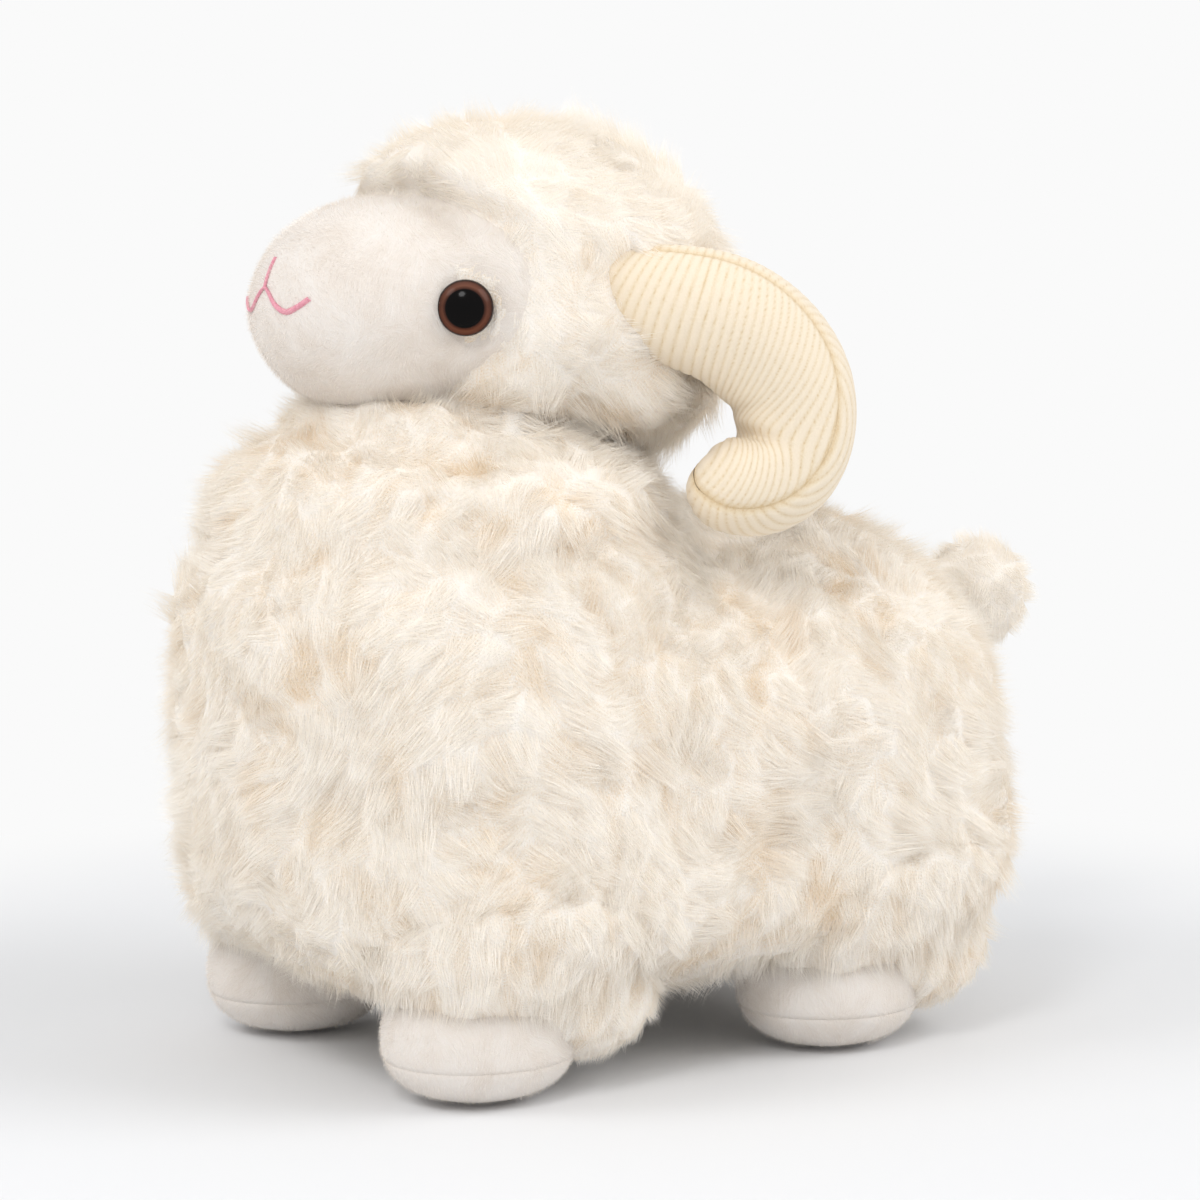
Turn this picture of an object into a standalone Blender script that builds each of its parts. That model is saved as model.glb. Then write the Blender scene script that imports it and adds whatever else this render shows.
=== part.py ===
"""Plush sheep with ram horns: fleece covers, short pile face and feet, corduroy horns, stuffing inside.

Metres, +Z up. The sheep faces -Y, its left side is +X, and it stands on z = 0.
Every soft form is a sphere swelled out to a few overlapping lobes. The same lobes less the fabric make
the hollow inside. A cover is the form less the hollow, the stuffing fills the hollow, and the smaller
form is always cut by the larger one that it is sewn to.
"""
import math

import bmesh
import bpy
from mathutils import Matrix, Vector

# Clearances and fabric thicknesses
SEAM_GAP = 0.0003
CUT_OVERRUN = 0.02
FLEECE_THICKNESS = 0.012
PLUSH_THICKNESS = 0.003
CORDUROY_THICKNESS = 0.0016

# Body
BODY_LENGTH = 0.231
BODY_WIDTH = 0.156
BODY_HEIGHT = 0.150
BELLY_CLEARANCE = 0.018
BELLY_PANEL_WIDTH = 0.080
BELLY_PANEL_LENGTH = 0.160
BELLY_PANEL_RISE = 0.040

# Head: the fleece hood and the face that stands out of it
HOOD_WIDTH = 0.106
HOOD_LENGTH = 0.104
HOOD_HEIGHT = 0.094
HEAD_SEAT = 0.022
HEAD_INSET = 0.098
FACE_WIDTH = 0.089
FACE_LENGTH = 0.066
FACE_HEIGHT = 0.060
FACE_FORWARD = 0.017
FACE_DROP = 0.002
FACE_OPENING_WIDTH = 0.112
FACE_OPENING_HEIGHT = 0.062
FACE_OPENING_FORWARD = 0.0310

# Safety eyes with their shanks and lock washers
EYE_DIAMETER = 0.014
EYE_DOME_HEIGHT = 0.0052
EYE_RIM = 0.0010
EYE_SEAT = 0.0010
EYE_TURN = math.radians(53.5)
EYE_LIFT = math.radians(-2.0)
SHANK_DIAMETER = 0.0042
SHANK_LENGTH = 0.013
WASHER_DIAMETER = 0.016
WASHER_THICKNESS = 0.0015
WASHER_DEPTH = 0.0034

# Stitched mouth
SMILE_THREAD = 0.0018
PHILTRUM_THREAD = 0.0009
SMILE_WIDTH = 0.036
SMILE_DROP = 0.0063
PHILTRUM_HEIGHT = 0.0085
MOUTH_RISE = 0.0035

# Horns
HORN_REACH = 0.058
HORN_DIAMETER = 0.0350
HORN_ROOT_OUT = 0.038
HORN_ROOT_BACK = 0.0030
HORN_ROOT_LIFT = -0.0020
HORN_HINGE_FORWARD = 0.0098

# Legs: a fleece sleeve whose heel hangs behind a round short pile foot
FOOT_SIDE_INSET = 0.03285
FRONT_FOOT_INSET = 0.05335
HIND_FOOT_INSET = 0.07235
LEG_WIDTH = 0.058
LEG_LENGTH = 0.072
LEG_HEIGHT = 0.064
LEG_SETBACK = 0.015
LEG_FLOOR_GAP = 0.0035
FOOT_WIDTH = 0.045
FOOT_LENGTH = 0.050
FOOT_HEIGHT = 0.032
FOOT_FLAT = 0.0005
SOLE_HEIGHT = 0.0105

# Tail
TAIL_DIAMETER = 0.032
TAIL_FLEECE_THICKNESS = 0.008
TAIL_BACK = 0.0095
TAIL_RISE = 0.0900
TAIL_HINGE_RISE = 0.0120

# Lobes of each form: (back, up, half width, half length, half height) as shares of the form's own
# length, height, width, length and height
BODY_LOBE_SHARES = [
    (-0.262, 0.345, 0.300, 0.143, 0.145),
    (-0.195, 0.310, 0.400, 0.255, 0.180),
    (-0.193, 0.170, 0.440, 0.280, 0.290),
    (-0.200, -0.035, 0.485, 0.285, 0.430),
    (-0.185, -0.240, 0.460, 0.270, 0.250),
    (-0.020, -0.290, 0.450, 0.355, 0.230),
    (-0.020, -0.095, 0.475, 0.405, 0.390),
    (0.205, -0.085, 0.475, 0.290, 0.395),
    (0.195, -0.235, 0.450, 0.290, 0.270),
]
HOOD_LOBE_SHARES = [
    (0.010, 0.000, 0.480, 0.485, 0.480),
    (-0.165, 0.130, 0.385, 0.340, 0.330),
    (-0.195, -0.020, 0.470, 0.295, 0.440),
    (0.120, -0.130, 0.450, 0.400, 0.380),
]
FACE_LOBE_SHARES = [
    (-0.050, -0.010, 0.495, 0.450, 0.495),
    (-0.385, -0.030, 0.375, 0.575, 0.465),
]
LEG_LOBE_SHARES = [
    (-0.040, 0.060, 0.490, 0.460, 0.430),
    (0.080, -0.200, 0.430, 0.400, 0.290),
]
FOOT_LOBE_SHARES = [(0.0, 0.0, 0.5, 0.5, 0.5)]
TAIL_LOBE_SHARES = [
    (0.0, 0.0, 0.5, 0.5, 0.5),
    (-0.38, -0.05, 0.40, 0.45, 0.40),
]

# Middle from which the hollow of the head, a leg and the tail is swelled, which lies inside all of its
# lobes: (back, up) as shares of the hood's, the leg's or the tail's length and height
HEAD_HOLLOW_SHARES = (-0.10, 0.0)
LEG_HOLLOW_SHARES = (-0.055, -0.15)
TAIL_HOLLOW_SHARES = (-0.20, 0.0)

# How sharply the lobes of a form meet
LOBE_SHARPNESS = 16

# Turn of each form's rings, as a share of half a segment
RING_TURN_SHARE = 0.83

# Core radius left in a corduroy panel where the horn's tip is thinner than the fabric
HORN_TIP_CORE_SHARE = 0.3

# Horn centre line from the root: (out, back, up) shares of the reach and the share of full thickness there
HORN_LINE_SHARES = [
    (-0.16, -0.10, 0.06, 0.70),
    (0.02, -0.02, 0.02, 0.74),
    (0.19, 0.12, -0.02, 0.85),
    (0.31, 0.28, -0.10, 0.95),
    (0.38, 0.42, -0.22, 1.00),
    (0.42, 0.51, -0.38, 1.00),
    (0.43, 0.52, -0.54, 0.97),
    (0.42, 0.45, -0.68, 0.92),
    (0.39, 0.33, -0.75, 0.84),
    (0.35, 0.20, -0.75, 0.72),
    (0.32, 0.11, -0.72, 0.54),
    (0.30, 0.05, -0.69, 0.26),
]

# One half of the smile from its outer end: (across, down) shares of half its width and of its drop
SMILE_SHARES = [(1.0, 0.43), (0.78, 0.80), (0.56, 1.0), (0.34, 0.76), (0.15, 0.25), (0.0, 0.0)]

# Segments round and rings along each form and each plainer hollow
BODY_DETAIL = (30, 17)
HOOD_DETAIL = (26, 15)
FACE_DETAIL = (22, 13)
LEG_DETAIL = (18, 11)
FOOT_DETAIL = (16, 9)
TAIL_DETAIL = (14, 9)
BODY_HOLLOW_DETAIL = (18, 10)
HEAD_HOLLOW_DETAIL = (18, 12)
LEG_HOLLOW_DETAIL = (13, 9)
TAIL_HOLLOW_DETAIL = (10, 7)
EYE_STEPS = 16
EYE_DOME_POINTS = 5
WASHER_SEGMENTS = 16
HORN_HALF_SEGMENTS = 7
THREAD_BEVEL_RESOLUTION = 1
THREAD_STEPS = 2
PANEL_SEGMENTS = 36

# Colours as red, green, blue and the roughness of each surface
FLEECE_LOOK = ((0.87, 0.81, 0.72), 0.95)
PLUSH_LOOK = ((0.89, 0.83, 0.74), 0.90)
CORDUROY_LOOK = ((0.92, 0.83, 0.60), 0.88)
FIBRE_LOOK = ((0.94, 0.94, 0.92), 1.00)
EYE_LOOK = ((0.10, 0.04, 0.03), 0.08)
WASHER_LOOK = ((0.85, 0.85, 0.83), 0.50)
THREAD_LOOK = ((0.75, 0.22, 0.32), 0.60)

SIDES = (("left", 1), ("right", -1))


def clear_scene():
    for obj in list(bpy.data.objects):
        bpy.data.objects.remove(obj)


def new_collection(name):
    collection = bpy.data.collections.new(name)
    bpy.context.scene.collection.children.link(collection)
    return collection


def link(obj, collection, parent):
    collection.objects.link(obj)
    obj.parent = parent
    return obj


def surface_material(name, look):
    colour, roughness = look
    material = bpy.data.materials.new(name)
    material.use_nodes = True
    shader = material.node_tree.nodes["Principled BSDF"]
    shader.inputs["Base Color"].default_value = (*colour, 1.0)
    shader.inputs["Roughness"].default_value = roughness
    shader.inputs["Metallic"].default_value = 0.0
    return material


def finish(obj, look):
    """Give a piece its own material and round shading."""
    obj.data.materials.append(surface_material(obj.name, look))
    obj.data.shade_smooth()
    return obj


def hide_cutter(obj):
    obj.hide_render = True
    obj.display_type = "WIRE"
    return obj


def boolean(obj, cutter, operation, solver):
    modifier = obj.modifiers.new(f"{operation.lower()} {cutter.name}", "BOOLEAN")
    modifier.operation = operation
    modifier.solver = solver
    modifier.object = cutter


def cut(obj, *cutters):
    """Take cutters away from a hard piece."""
    for cutter in cutters:
        boolean(obj, cutter, "DIFFERENCE", "EXACT")


def carve(obj, *cutters):
    """Take cutters away from a soft form. The exact solver loses whole covers here."""
    for cutter in cutters:
        boolean(obj, cutter, "DIFFERENCE", "MANIFOLD")


def keep_inside(obj, cutter):
    """Keep only what a soft form shares with a cutter. The exact solver loses whole covers here."""
    boolean(obj, cutter, "INTERSECT", "MANIFOLD")


def join(obj, other):
    boolean(obj, other, "UNION", "EXACT")


def lobes(size, shares):
    """Turn a table of shares into ellipsoids (centre, radii) for a form of the given size."""
    width, length, height = size
    made = []
    for back, up, half_width, half_length, half_height in shares:
        centre = Vector((0.0, back * length, up * height))
        radii = Vector((half_width * width, half_length * length, half_height * height))
        made.append((centre, radii))
    return made


def reach_along(direction, centre, radii):
    """Distance from the form's middle to the far side of one ellipsoid along a unit direction.

    It is zero where the ellipsoid doesn't lie that way.
    """
    ray = Vector([direction[i] / radii[i] for i in range(3)])
    start = Vector([centre[i] / radii[i] for i in range(3)])
    along = ray.dot(start)
    inside = along * along - ray.dot(ray) * (start.dot(start) - 1.0)
    if inside <= 0.0:
        return 0.0
    return max(0.0, along + math.sqrt(inside)) / ray.dot(ray)


def swell(direction, form_lobes):
    """Point where a soft form's surface lies along a direction from its middle."""
    unit = direction.normalized()
    total = sum(reach_along(unit, *lobe) ** LOBE_SHARPNESS for lobe in form_lobes)
    return unit * total ** (1.0 / LOBE_SHARPNESS)


def grown(form_lobes, distance):
    """The same lobes, each this much thicker (or thinner) all round."""
    return [(centre, radii + Vector((distance, distance, distance))) for centre, radii in form_lobes]


def form_mesh(name, form_lobes, detail):
    """A swelled sphere with its poles front and back.

    Its rings are turned by half a segment less a little, so that the edges of two forms with the same
    middle never lie on each other where they are cut. It is made of triangles before it swells, so that
    a form and the same form grown or shrunk have their edges in the same directions and never cross.
    """
    segments, rings = detail
    bm = bmesh.new()
    bmesh.ops.create_uvsphere(bm, u_segments=segments, v_segments=rings, radius=1.0)
    spin = Matrix.Rotation(math.pi / segments * RING_TURN_SHARE, 3, "Z")
    turn = Matrix.Rotation(math.radians(90.0), 3, "X") @ spin
    bmesh.ops.rotate(bm, cent=Vector(), matrix=turn, verts=bm.verts)
    bmesh.ops.triangulate(bm, faces=bm.faces)
    for vert in bm.verts:
        vert.co = swell(vert.co, form_lobes)
    bmesh.ops.recalc_face_normals(bm, faces=bm.faces)
    mesh = bpy.data.meshes.new(name)
    bm.to_mesh(mesh)
    bm.free()
    return mesh


class Form:
    """One soft form, or the hollow inside one or more: lobes about a middle at one place."""

    def __init__(self, name, place, form_lobes, detail):
        self.name = name
        self.place = Vector(place)
        self.lobes = form_lobes
        self.detail = detail

    def solid(self, name, growth, parent, collection):
        mesh = form_mesh(name, grown(self.lobes, growth), self.detail)
        obj = bpy.data.objects.new(name, mesh)
        obj.location = self.place
        return link(obj, collection, parent)

    def skin(self, name, parent):
        """The outer surface, from which a cover is cut."""
        return self.solid(name, 0.0, parent, PARTS)

    def filling(self, name, parent):
        """The stuffing of a hollow, one seam gap clear of the fabric."""
        return self.solid(name, -SEAM_GAP, parent, PARTS)

    def cutter(self, parent):
        return hide_cutter(self.solid(f"{self.name}_cutter", 0.0, parent, CUTTERS))

    def clearance(self, parent):
        """A cutter that leaves a neighbour one seam gap away."""
        return hide_cutter(self.solid(f"{self.name}_clearance", SEAM_GAP, parent, CUTTERS))

    def surface(self, direction):
        return self.place + swell(direction, self.lobes)


def hollow(name, place, covered, detail):
    """The space for stuffing inside covered forms that open into each other: (form, fabric) pairs."""
    inside = []
    for form, fabric in covered:
        step = form.place - place
        inside += [(centre + step, radii) for centre, radii in grown(form.lobes, -fabric)]
    return Form(name, place, inside, detail)


def middle_of(form, size, shares):
    """A hollow's middle, moved from the form's own by shares of its length and height."""
    back, up = shares
    return form.place + Vector((0.0, back * size[1], up * size[2]))


def block(name, low, high, parent):
    """A box cutter between two corners."""
    bm = bmesh.new()
    bmesh.ops.create_cube(bm, size=1.0)
    low = Vector(low)
    high = Vector(high)
    for vert in bm.verts:
        vert.co = Vector([vert.co[i] * (high[i] - low[i]) for i in range(3)])
    mesh = bpy.data.meshes.new(name)
    bm.to_mesh(mesh)
    bm.free()
    obj = bpy.data.objects.new(name, mesh)
    obj.location = (low + high) / 2
    return hide_cutter(link(obj, CUTTERS, parent))


def drum_mesh(name, radius, low, high, segments):
    """A round block about its own Z axis, between two heights."""
    bm = bmesh.new()
    bmesh.ops.create_cone(bm, cap_ends=True, segments=segments, radius1=radius, radius2=radius,
                          depth=high - low)
    bmesh.ops.translate(bm, verts=bm.verts, vec=(0.0, 0.0, (low + high) / 2))
    mesh = bpy.data.meshes.new(name)
    bm.to_mesh(mesh)
    bm.free()
    return mesh


def half_block(name, side, reach, parent):
    """The half of space on one side of the middle seam, half a seam gap away from it."""
    inner = side * SEAM_GAP / 2
    outer = side * reach
    low = (min(inner, outer), -reach, -reach)
    high = (max(inner, outer), reach, reach)
    return block(name, low, high, parent)


def mesh_from_curve(obj):
    """Replace a curve object by a closed mesh object at the same place."""
    depsgraph = bpy.context.evaluated_depsgraph_get()
    mesh = bpy.data.meshes.new_from_object(obj.evaluated_get(depsgraph))
    mesh.name = obj.name
    bm = bmesh.new()
    bm.from_mesh(mesh)
    bmesh.ops.remove_doubles(bm, verts=bm.verts, dist=WELD_DISTANCE)
    bmesh.ops.recalc_face_normals(bm, faces=bm.faces)
    bm.to_mesh(mesh)
    bm.free()
    matrix = obj.matrix_world.copy()
    bpy.data.objects.remove(obj)
    made = bpy.data.objects.new(mesh.name, mesh)
    made.matrix_world = matrix
    return made


def tube(name, points, radii, bevel_resolution, steps):
    """A closed tube through points, its radius smoothly following the given radii."""
    curve = bpy.data.curves.new(name, "CURVE")
    curve.dimensions = "3D"
    curve.bevel_depth = 1.0
    curve.bevel_resolution = bevel_resolution
    curve.resolution_u = steps
    curve.use_fill_caps = True
    spline = curve.splines.new("BEZIER")
    spline.bezier_points.add(len(points) - 1)
    for bezier, point, radius in zip(spline.bezier_points, points, radii):
        bezier.co = point
        bezier.radius = radius
        bezier.handle_left_type = "AUTO"
        bezier.handle_right_type = "AUTO"
    obj = bpy.data.objects.new(name, curve)
    bpy.context.scene.collection.objects.link(obj)
    bpy.context.view_layer.update()
    return mesh_from_curve(obj)


def make_body(root):
    """Two side panels, the belly panel and the stuffing inside them."""
    inside = hollow("body_hollow", BODY.place, [(BODY, FLEECE_THICKNESS)], BODY_HOLLOW_DETAIL)
    space = inside.cutter(root)
    belly = hide_cutter(bpy.data.objects.new("belly_panel_outline", belly_outline(0.0)))
    belly.location = (0.0, BODY.place.y, 0.0)
    link(belly, CUTTERS, root)
    around_belly = hide_cutter(bpy.data.objects.new("belly_panel_clearance", belly_outline(SEAM_GAP)))
    around_belly.location = belly.location
    link(around_belly, CUTTERS, root)

    for side_name, side in SIDES:
        panel = finish(BODY.skin(f"body_fleece_{side_name}", root), FLEECE_LOOK)
        half = half_block(f"body_half_{side_name}", side, SPLIT_REACH, root)
        carve(panel, space)
        keep_inside(panel, half)
        carve(panel, around_belly)

    panel = finish(BODY.skin("belly_fleece", root), FLEECE_LOOK)
    carve(panel, space)
    keep_inside(panel, belly)
    finish(inside.filling("body_stuffing", root), FIBRE_LOOK)


def belly_outline(gap):
    """Long oval that cuts the belly panel out of the body's underside."""
    top = BELLY_CLEARANCE + BELLY_PANEL_RISE + gap
    mesh = drum_mesh("belly_outline", 1.0, 0.0, top, PANEL_SEGMENTS)
    for vert in mesh.vertices:
        vert.co.x *= BELLY_PANEL_WIDTH / 2 + gap
        vert.co.y *= BELLY_PANEL_LENGTH / 2 + gap
    return mesh


def make_head(root, body_clearance):
    """Hood panels, face cover and the stuffing that fills both."""
    inside = hollow("head_hollow", middle_of(HOOD, HOOD_SIZE, HEAD_HOLLOW_SHARES),
                    [(HOOD, FLEECE_THICKNESS), (FACE, PLUSH_THICKNESS)], HEAD_HOLLOW_DETAIL)
    space = inside.cutter(root)
    opening = face_opening("face_opening", 0.0, root)
    hood_clearance = HOOD.clearance(root)
    carve(hood_clearance, face_opening("face_opening_clearance", SEAM_GAP, root))

    for side_name, side in SIDES:
        panel = finish(HOOD.skin(f"hood_fleece_{side_name}", root), FLEECE_LOOK)
        half = half_block(f"hood_half_{side_name}", side, SPLIT_REACH, root)
        carve(panel, space)
        keep_inside(panel, half)
        carve(panel, opening, body_clearance)

    cover = finish(FACE.skin("face_cover", root), PLUSH_LOOK)
    carve(cover, space, hood_clearance, body_clearance)

    stuffing = finish(inside.filling("head_stuffing", root), FIBRE_LOOK)
    carve(stuffing, body_clearance)
    for side_name, side in SIDES:
        make_eye(side_name, side, root, cover, stuffing)
    return hood_clearance


def face_opening(name, gap, parent):
    """Oval carved into the hood's front, where the face stands out of the fleece."""
    mesh = drum_mesh(name, 1.0, FACE_OPENING_FORWARD + gap, HOOD_LENGTH, PANEL_SEGMENTS)
    for vert in mesh.vertices:
        vert.co.x *= FACE_OPENING_WIDTH / 2 - gap
        vert.co.y *= FACE_OPENING_HEIGHT / 2 - gap
    obj = hide_cutter(link(bpy.data.objects.new(name, mesh), CUTTERS, parent))
    obj.location = HOOD.place
    obj.rotation_euler = (math.radians(90.0), 0.0, 0.0)
    return obj


def eye_profile():
    """Half section of the eye from the dome's top, down the rim and the shank to its end."""
    radius = EYE_DIAMETER / 2
    shank = SHANK_DIAMETER / 2
    points = []
    for i in range(EYE_DOME_POINTS):
        angle = math.radians(90.0) * i / (EYE_DOME_POINTS - 1)
        points.append((radius * math.sin(angle), EYE_RIM + (EYE_DOME_HEIGHT - EYE_RIM) * math.cos(angle)))
    points.append((radius - EYE_RIM / 2, 0.0))
    points.append((shank, 0.0))
    points.append((shank, -SHANK_LENGTH))
    points.append((0.0, -SHANK_LENGTH))
    return points


def turned(name, points, steps, parent, collection):
    """A solid turned about its own Z axis from a profile that starts and ends on the axis."""
    bm = bmesh.new()
    verts = [bm.verts.new((across, 0.0, along)) for across, along in points]
    for first, second in zip(verts, verts[1:]):
        bm.edges.new((first, second))
    mesh = bpy.data.meshes.new(name)
    bm.to_mesh(mesh)
    bm.free()
    obj = bpy.data.objects.new(name, mesh)
    screw = obj.modifiers.new("turn", "SCREW")
    screw.steps = steps
    screw.render_steps = steps
    screw.use_merge_vertices = True
    screw.merge_threshold = WELD_DISTANCE
    screw.use_smooth_shade = True
    return link(obj, collection, parent)


def aim(obj, place, axis):
    """Put an object at a place with its own Z axis along a direction."""
    obj.location = place
    obj.rotation_mode = "QUATERNION"
    obj.rotation_quaternion = axis.to_track_quat("Z", "Y")


def make_eye(side_name, side, root, cover, stuffing):
    """Domed eye with its shank through the face cover, locked by a washer inside."""
    axis = Vector((side * math.sin(EYE_TURN) * math.cos(EYE_LIFT),
                   -math.cos(EYE_TURN) * math.cos(EYE_LIFT),
                   math.sin(EYE_LIFT)))
    place = FACE.surface(axis) - axis * EYE_SEAT
    shank = SHANK_DIAMETER / 2
    washer_top = -WASHER_DEPTH
    washer_bottom = washer_top - WASHER_THICKNESS

    eye = turned(f"eye_{side_name}", eye_profile(), EYE_STEPS, root, PARTS)
    eye.data.materials.append(surface_material(eye.name, EYE_LOOK))
    aim(eye, place, axis)

    around_washer = WASHER_DIAMETER / 2 + SEAM_GAP
    socket = drum(f"eye_socket_{side_name}", EYE_DIAMETER / 2 + SEAM_GAP, -SEAM_GAP, CUT_OVERRUN, root)
    hole = drum(f"shank_hole_{side_name}", shank + SEAM_GAP, -SHANK_LENGTH - SEAM_GAP, SHANK_LENGTH, root)
    seat = drum(f"washer_seat_{side_name}", around_washer, washer_bottom - CUT_OVERRUN,
                washer_top + SEAM_GAP, root)
    pocket = drum(f"washer_pocket_{side_name}", around_washer, washer_bottom - SEAM_GAP, CUT_OVERRUN, root)
    for cutter in (socket, hole, seat, pocket):
        aim(cutter, place, axis)

    washer_mesh = drum_mesh(f"eye_washer_{side_name}", WASHER_DIAMETER / 2, washer_bottom, washer_top,
                            WASHER_SEGMENTS)
    washer = link(bpy.data.objects.new(f"eye_washer_{side_name}", washer_mesh), PARTS, root)
    washer.data.materials.append(surface_material(washer.name, WASHER_LOOK))
    aim(washer, place, axis)
    cut(washer, hole)
    carve(cover, socket, hole, seat)
    carve(stuffing, pocket, hole)


def drum(name, radius, low, high, parent):
    mesh = drum_mesh(name, radius, low, high, WASHER_SEGMENTS)
    return hide_cutter(link(bpy.data.objects.new(name, mesh), CUTTERS, parent))


def make_mouth(root):
    """Smile and philtrum stitched on the front of the face, joined where they meet."""
    left_half = [(across, down) for across, down in SMILE_SHARES]
    right_half = [(-across, down) for across, down in reversed(SMILE_SHARES[:-1])]
    smile_points = []
    for across, down in left_half + right_half:
        smile_points.append(mouth_point(across * SMILE_WIDTH / 2, down * SMILE_DROP, SMILE_THREAD))
    radii = [SMILE_THREAD / 2] * len(smile_points)
    smile = tube("mouth_stitching", smile_points, radii, THREAD_BEVEL_RESOLUTION, THREAD_STEPS)
    finish(link(smile, PARTS, root), THREAD_LOOK)

    rise = [0.0, -PHILTRUM_HEIGHT / 2, -PHILTRUM_HEIGHT]
    philtrum_points = [mouth_point(0.0, down, SMILE_THREAD) for down in rise]
    radii = [PHILTRUM_THREAD / 2] * len(philtrum_points)
    philtrum = tube("philtrum_stitch", philtrum_points, radii, THREAD_BEVEL_RESOLUTION, THREAD_STEPS)
    hide_cutter(link(philtrum, CUTTERS, root))
    join(smile, philtrum)


def mouth_point(across, down, thread):
    """A point on the muzzle's front at a distance across and down from the mouth's middle."""
    aim_at = Vector((across, -FACE_LENGTH, MOUTH_RISE - down))
    direction = aim_at.normalized()
    return FACE.surface(direction) + direction * (thread / 2 + SEAM_GAP)


def horn_stations(side):
    """Centre, outward axis, rim axis and full radius of the horn at each point of its line."""
    centres = []
    for out, back, up, thickness in HORN_LINE_SHARES:
        step = Vector((side * out, back, up)) * HORN_REACH
        centres.append(Vector((side * HORN_ROOT.x, HORN_ROOT.y, HORN_ROOT.z)) + step)
    chord = centres[-1] - centres[0]
    bulge = centres[len(centres) // 2] - centres[0]
    plane_normal = bulge.cross(chord).normalized()
    if plane_normal.x * side < 0.0:
        plane_normal.negate()
    stations = []
    for i, centre in enumerate(centres):
        before = centres[max(i - 1, 0)]
        after = centres[min(i + 1, len(centres) - 1)]
        along = (after - before).normalized()
        outward = (plane_normal - along * plane_normal.dot(along)).normalized()
        rim = along.cross(outward)
        stations.append((centre, outward, rim, HORN_LINE_SHARES[i][3] * HORN_DIAMETER / 2))
    return stations


def arc_point(station, radius, turn, face):
    """A point round the horn: turn runs from 0 to 1 over one face, half a seam gap off the middle."""
    centre, outward, rim, full = station
    edge = math.asin(SEAM_GAP / 2 / radius)
    angle = edge + turn * (math.pi - 2 * edge)
    return centre + rim * radius * math.cos(angle) + outward * face * radius * math.sin(angle)


def panel_section(station, face):
    """C-shaped section of one corduroy panel: over the outside and back along the inside."""
    outer = station[3]
    inner = max(outer - CORDUROY_THICKNESS, outer * HORN_TIP_CORE_SHARE)
    turns = [i / HORN_HALF_SEGMENTS for i in range(HORN_HALF_SEGMENTS + 1)]
    over = [arc_point(station, outer, turn, face) for turn in turns]
    under = [arc_point(station, inner, turn, face) for turn in reversed(turns)]
    return over + under


def ring_section(station, shrink):
    centre, outward, rim, full = station
    radius = full - shrink
    count = 2 * HORN_HALF_SEGMENTS
    angles = [2 * math.pi * i / count for i in range(count)]
    return [centre + rim * radius * math.cos(a) + outward * radius * math.sin(a) for a in angles]


def loft(name, sections, origin, collection, parent):
    """A closed solid through a row of closed sections with the same number of points.

    Every face is split along its shorter diagonal, so that one loft nests in another.
    """
    bm = bmesh.new()
    rows = [[bm.verts.new(point - origin) for point in section] for section in sections]
    for row, following in zip(rows, rows[1:]):
        for i in range(len(row)):
            j = (i + 1) % len(row)
            bm.faces.new((row[i], row[j], following[j], following[i]))
    bm.faces.new(rows[0])
    bm.faces.new(reversed(rows[-1]))
    bmesh.ops.triangulate(bm, faces=bm.faces, quad_method="SHORT_EDGE")
    bmesh.ops.recalc_face_normals(bm, faces=bm.faces)
    mesh = bpy.data.meshes.new(name)
    bm.to_mesh(mesh)
    bm.free()
    return link(bpy.data.objects.new(name, mesh), collection, parent)


def make_horn(side_name, side, root, hood_clearance):
    """Corduroy panels on both faces of the curl, with stuffing, hinged at the front of the root seam."""
    hinge = bpy.data.objects.new(f"horn_hinge_{side_name}", None)
    hinge.location = horn_hinge_place(side)
    link(hinge, PARTS, root)
    stations = horn_stations(side)
    for face_name, face in (("outer", 1), ("inner", -1)):
        sections = [panel_section(station, face) for station in stations]
        panel = loft(f"horn_{side_name}_{face_name}_panel", sections, hinge.location, PARTS, hinge)
        carve(finish(panel, CORDUROY_LOOK), hood_clearance)
    shrink = CORDUROY_THICKNESS + SEAM_GAP
    filled = [station for station in stations if station[3] > shrink + CORDUROY_THICKNESS]
    sections = [ring_section(station, shrink) for station in filled]
    stuffing = loft(f"horn_{side_name}_stuffing", sections, hinge.location, PARTS, hinge)
    carve(finish(stuffing, FIBRE_LOOK), hood_clearance)


def horn_hinge_place(side):
    """Front edge of the horn's root on the hood's side."""
    forward = HORN_ROOT.y - HOOD.place.y - HORN_HINGE_FORWARD
    direction = Vector((side * HOOD_WIDTH / 2, forward, HORN_ROOT.z - HOOD.place.z))
    return HOOD.surface(direction)


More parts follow.
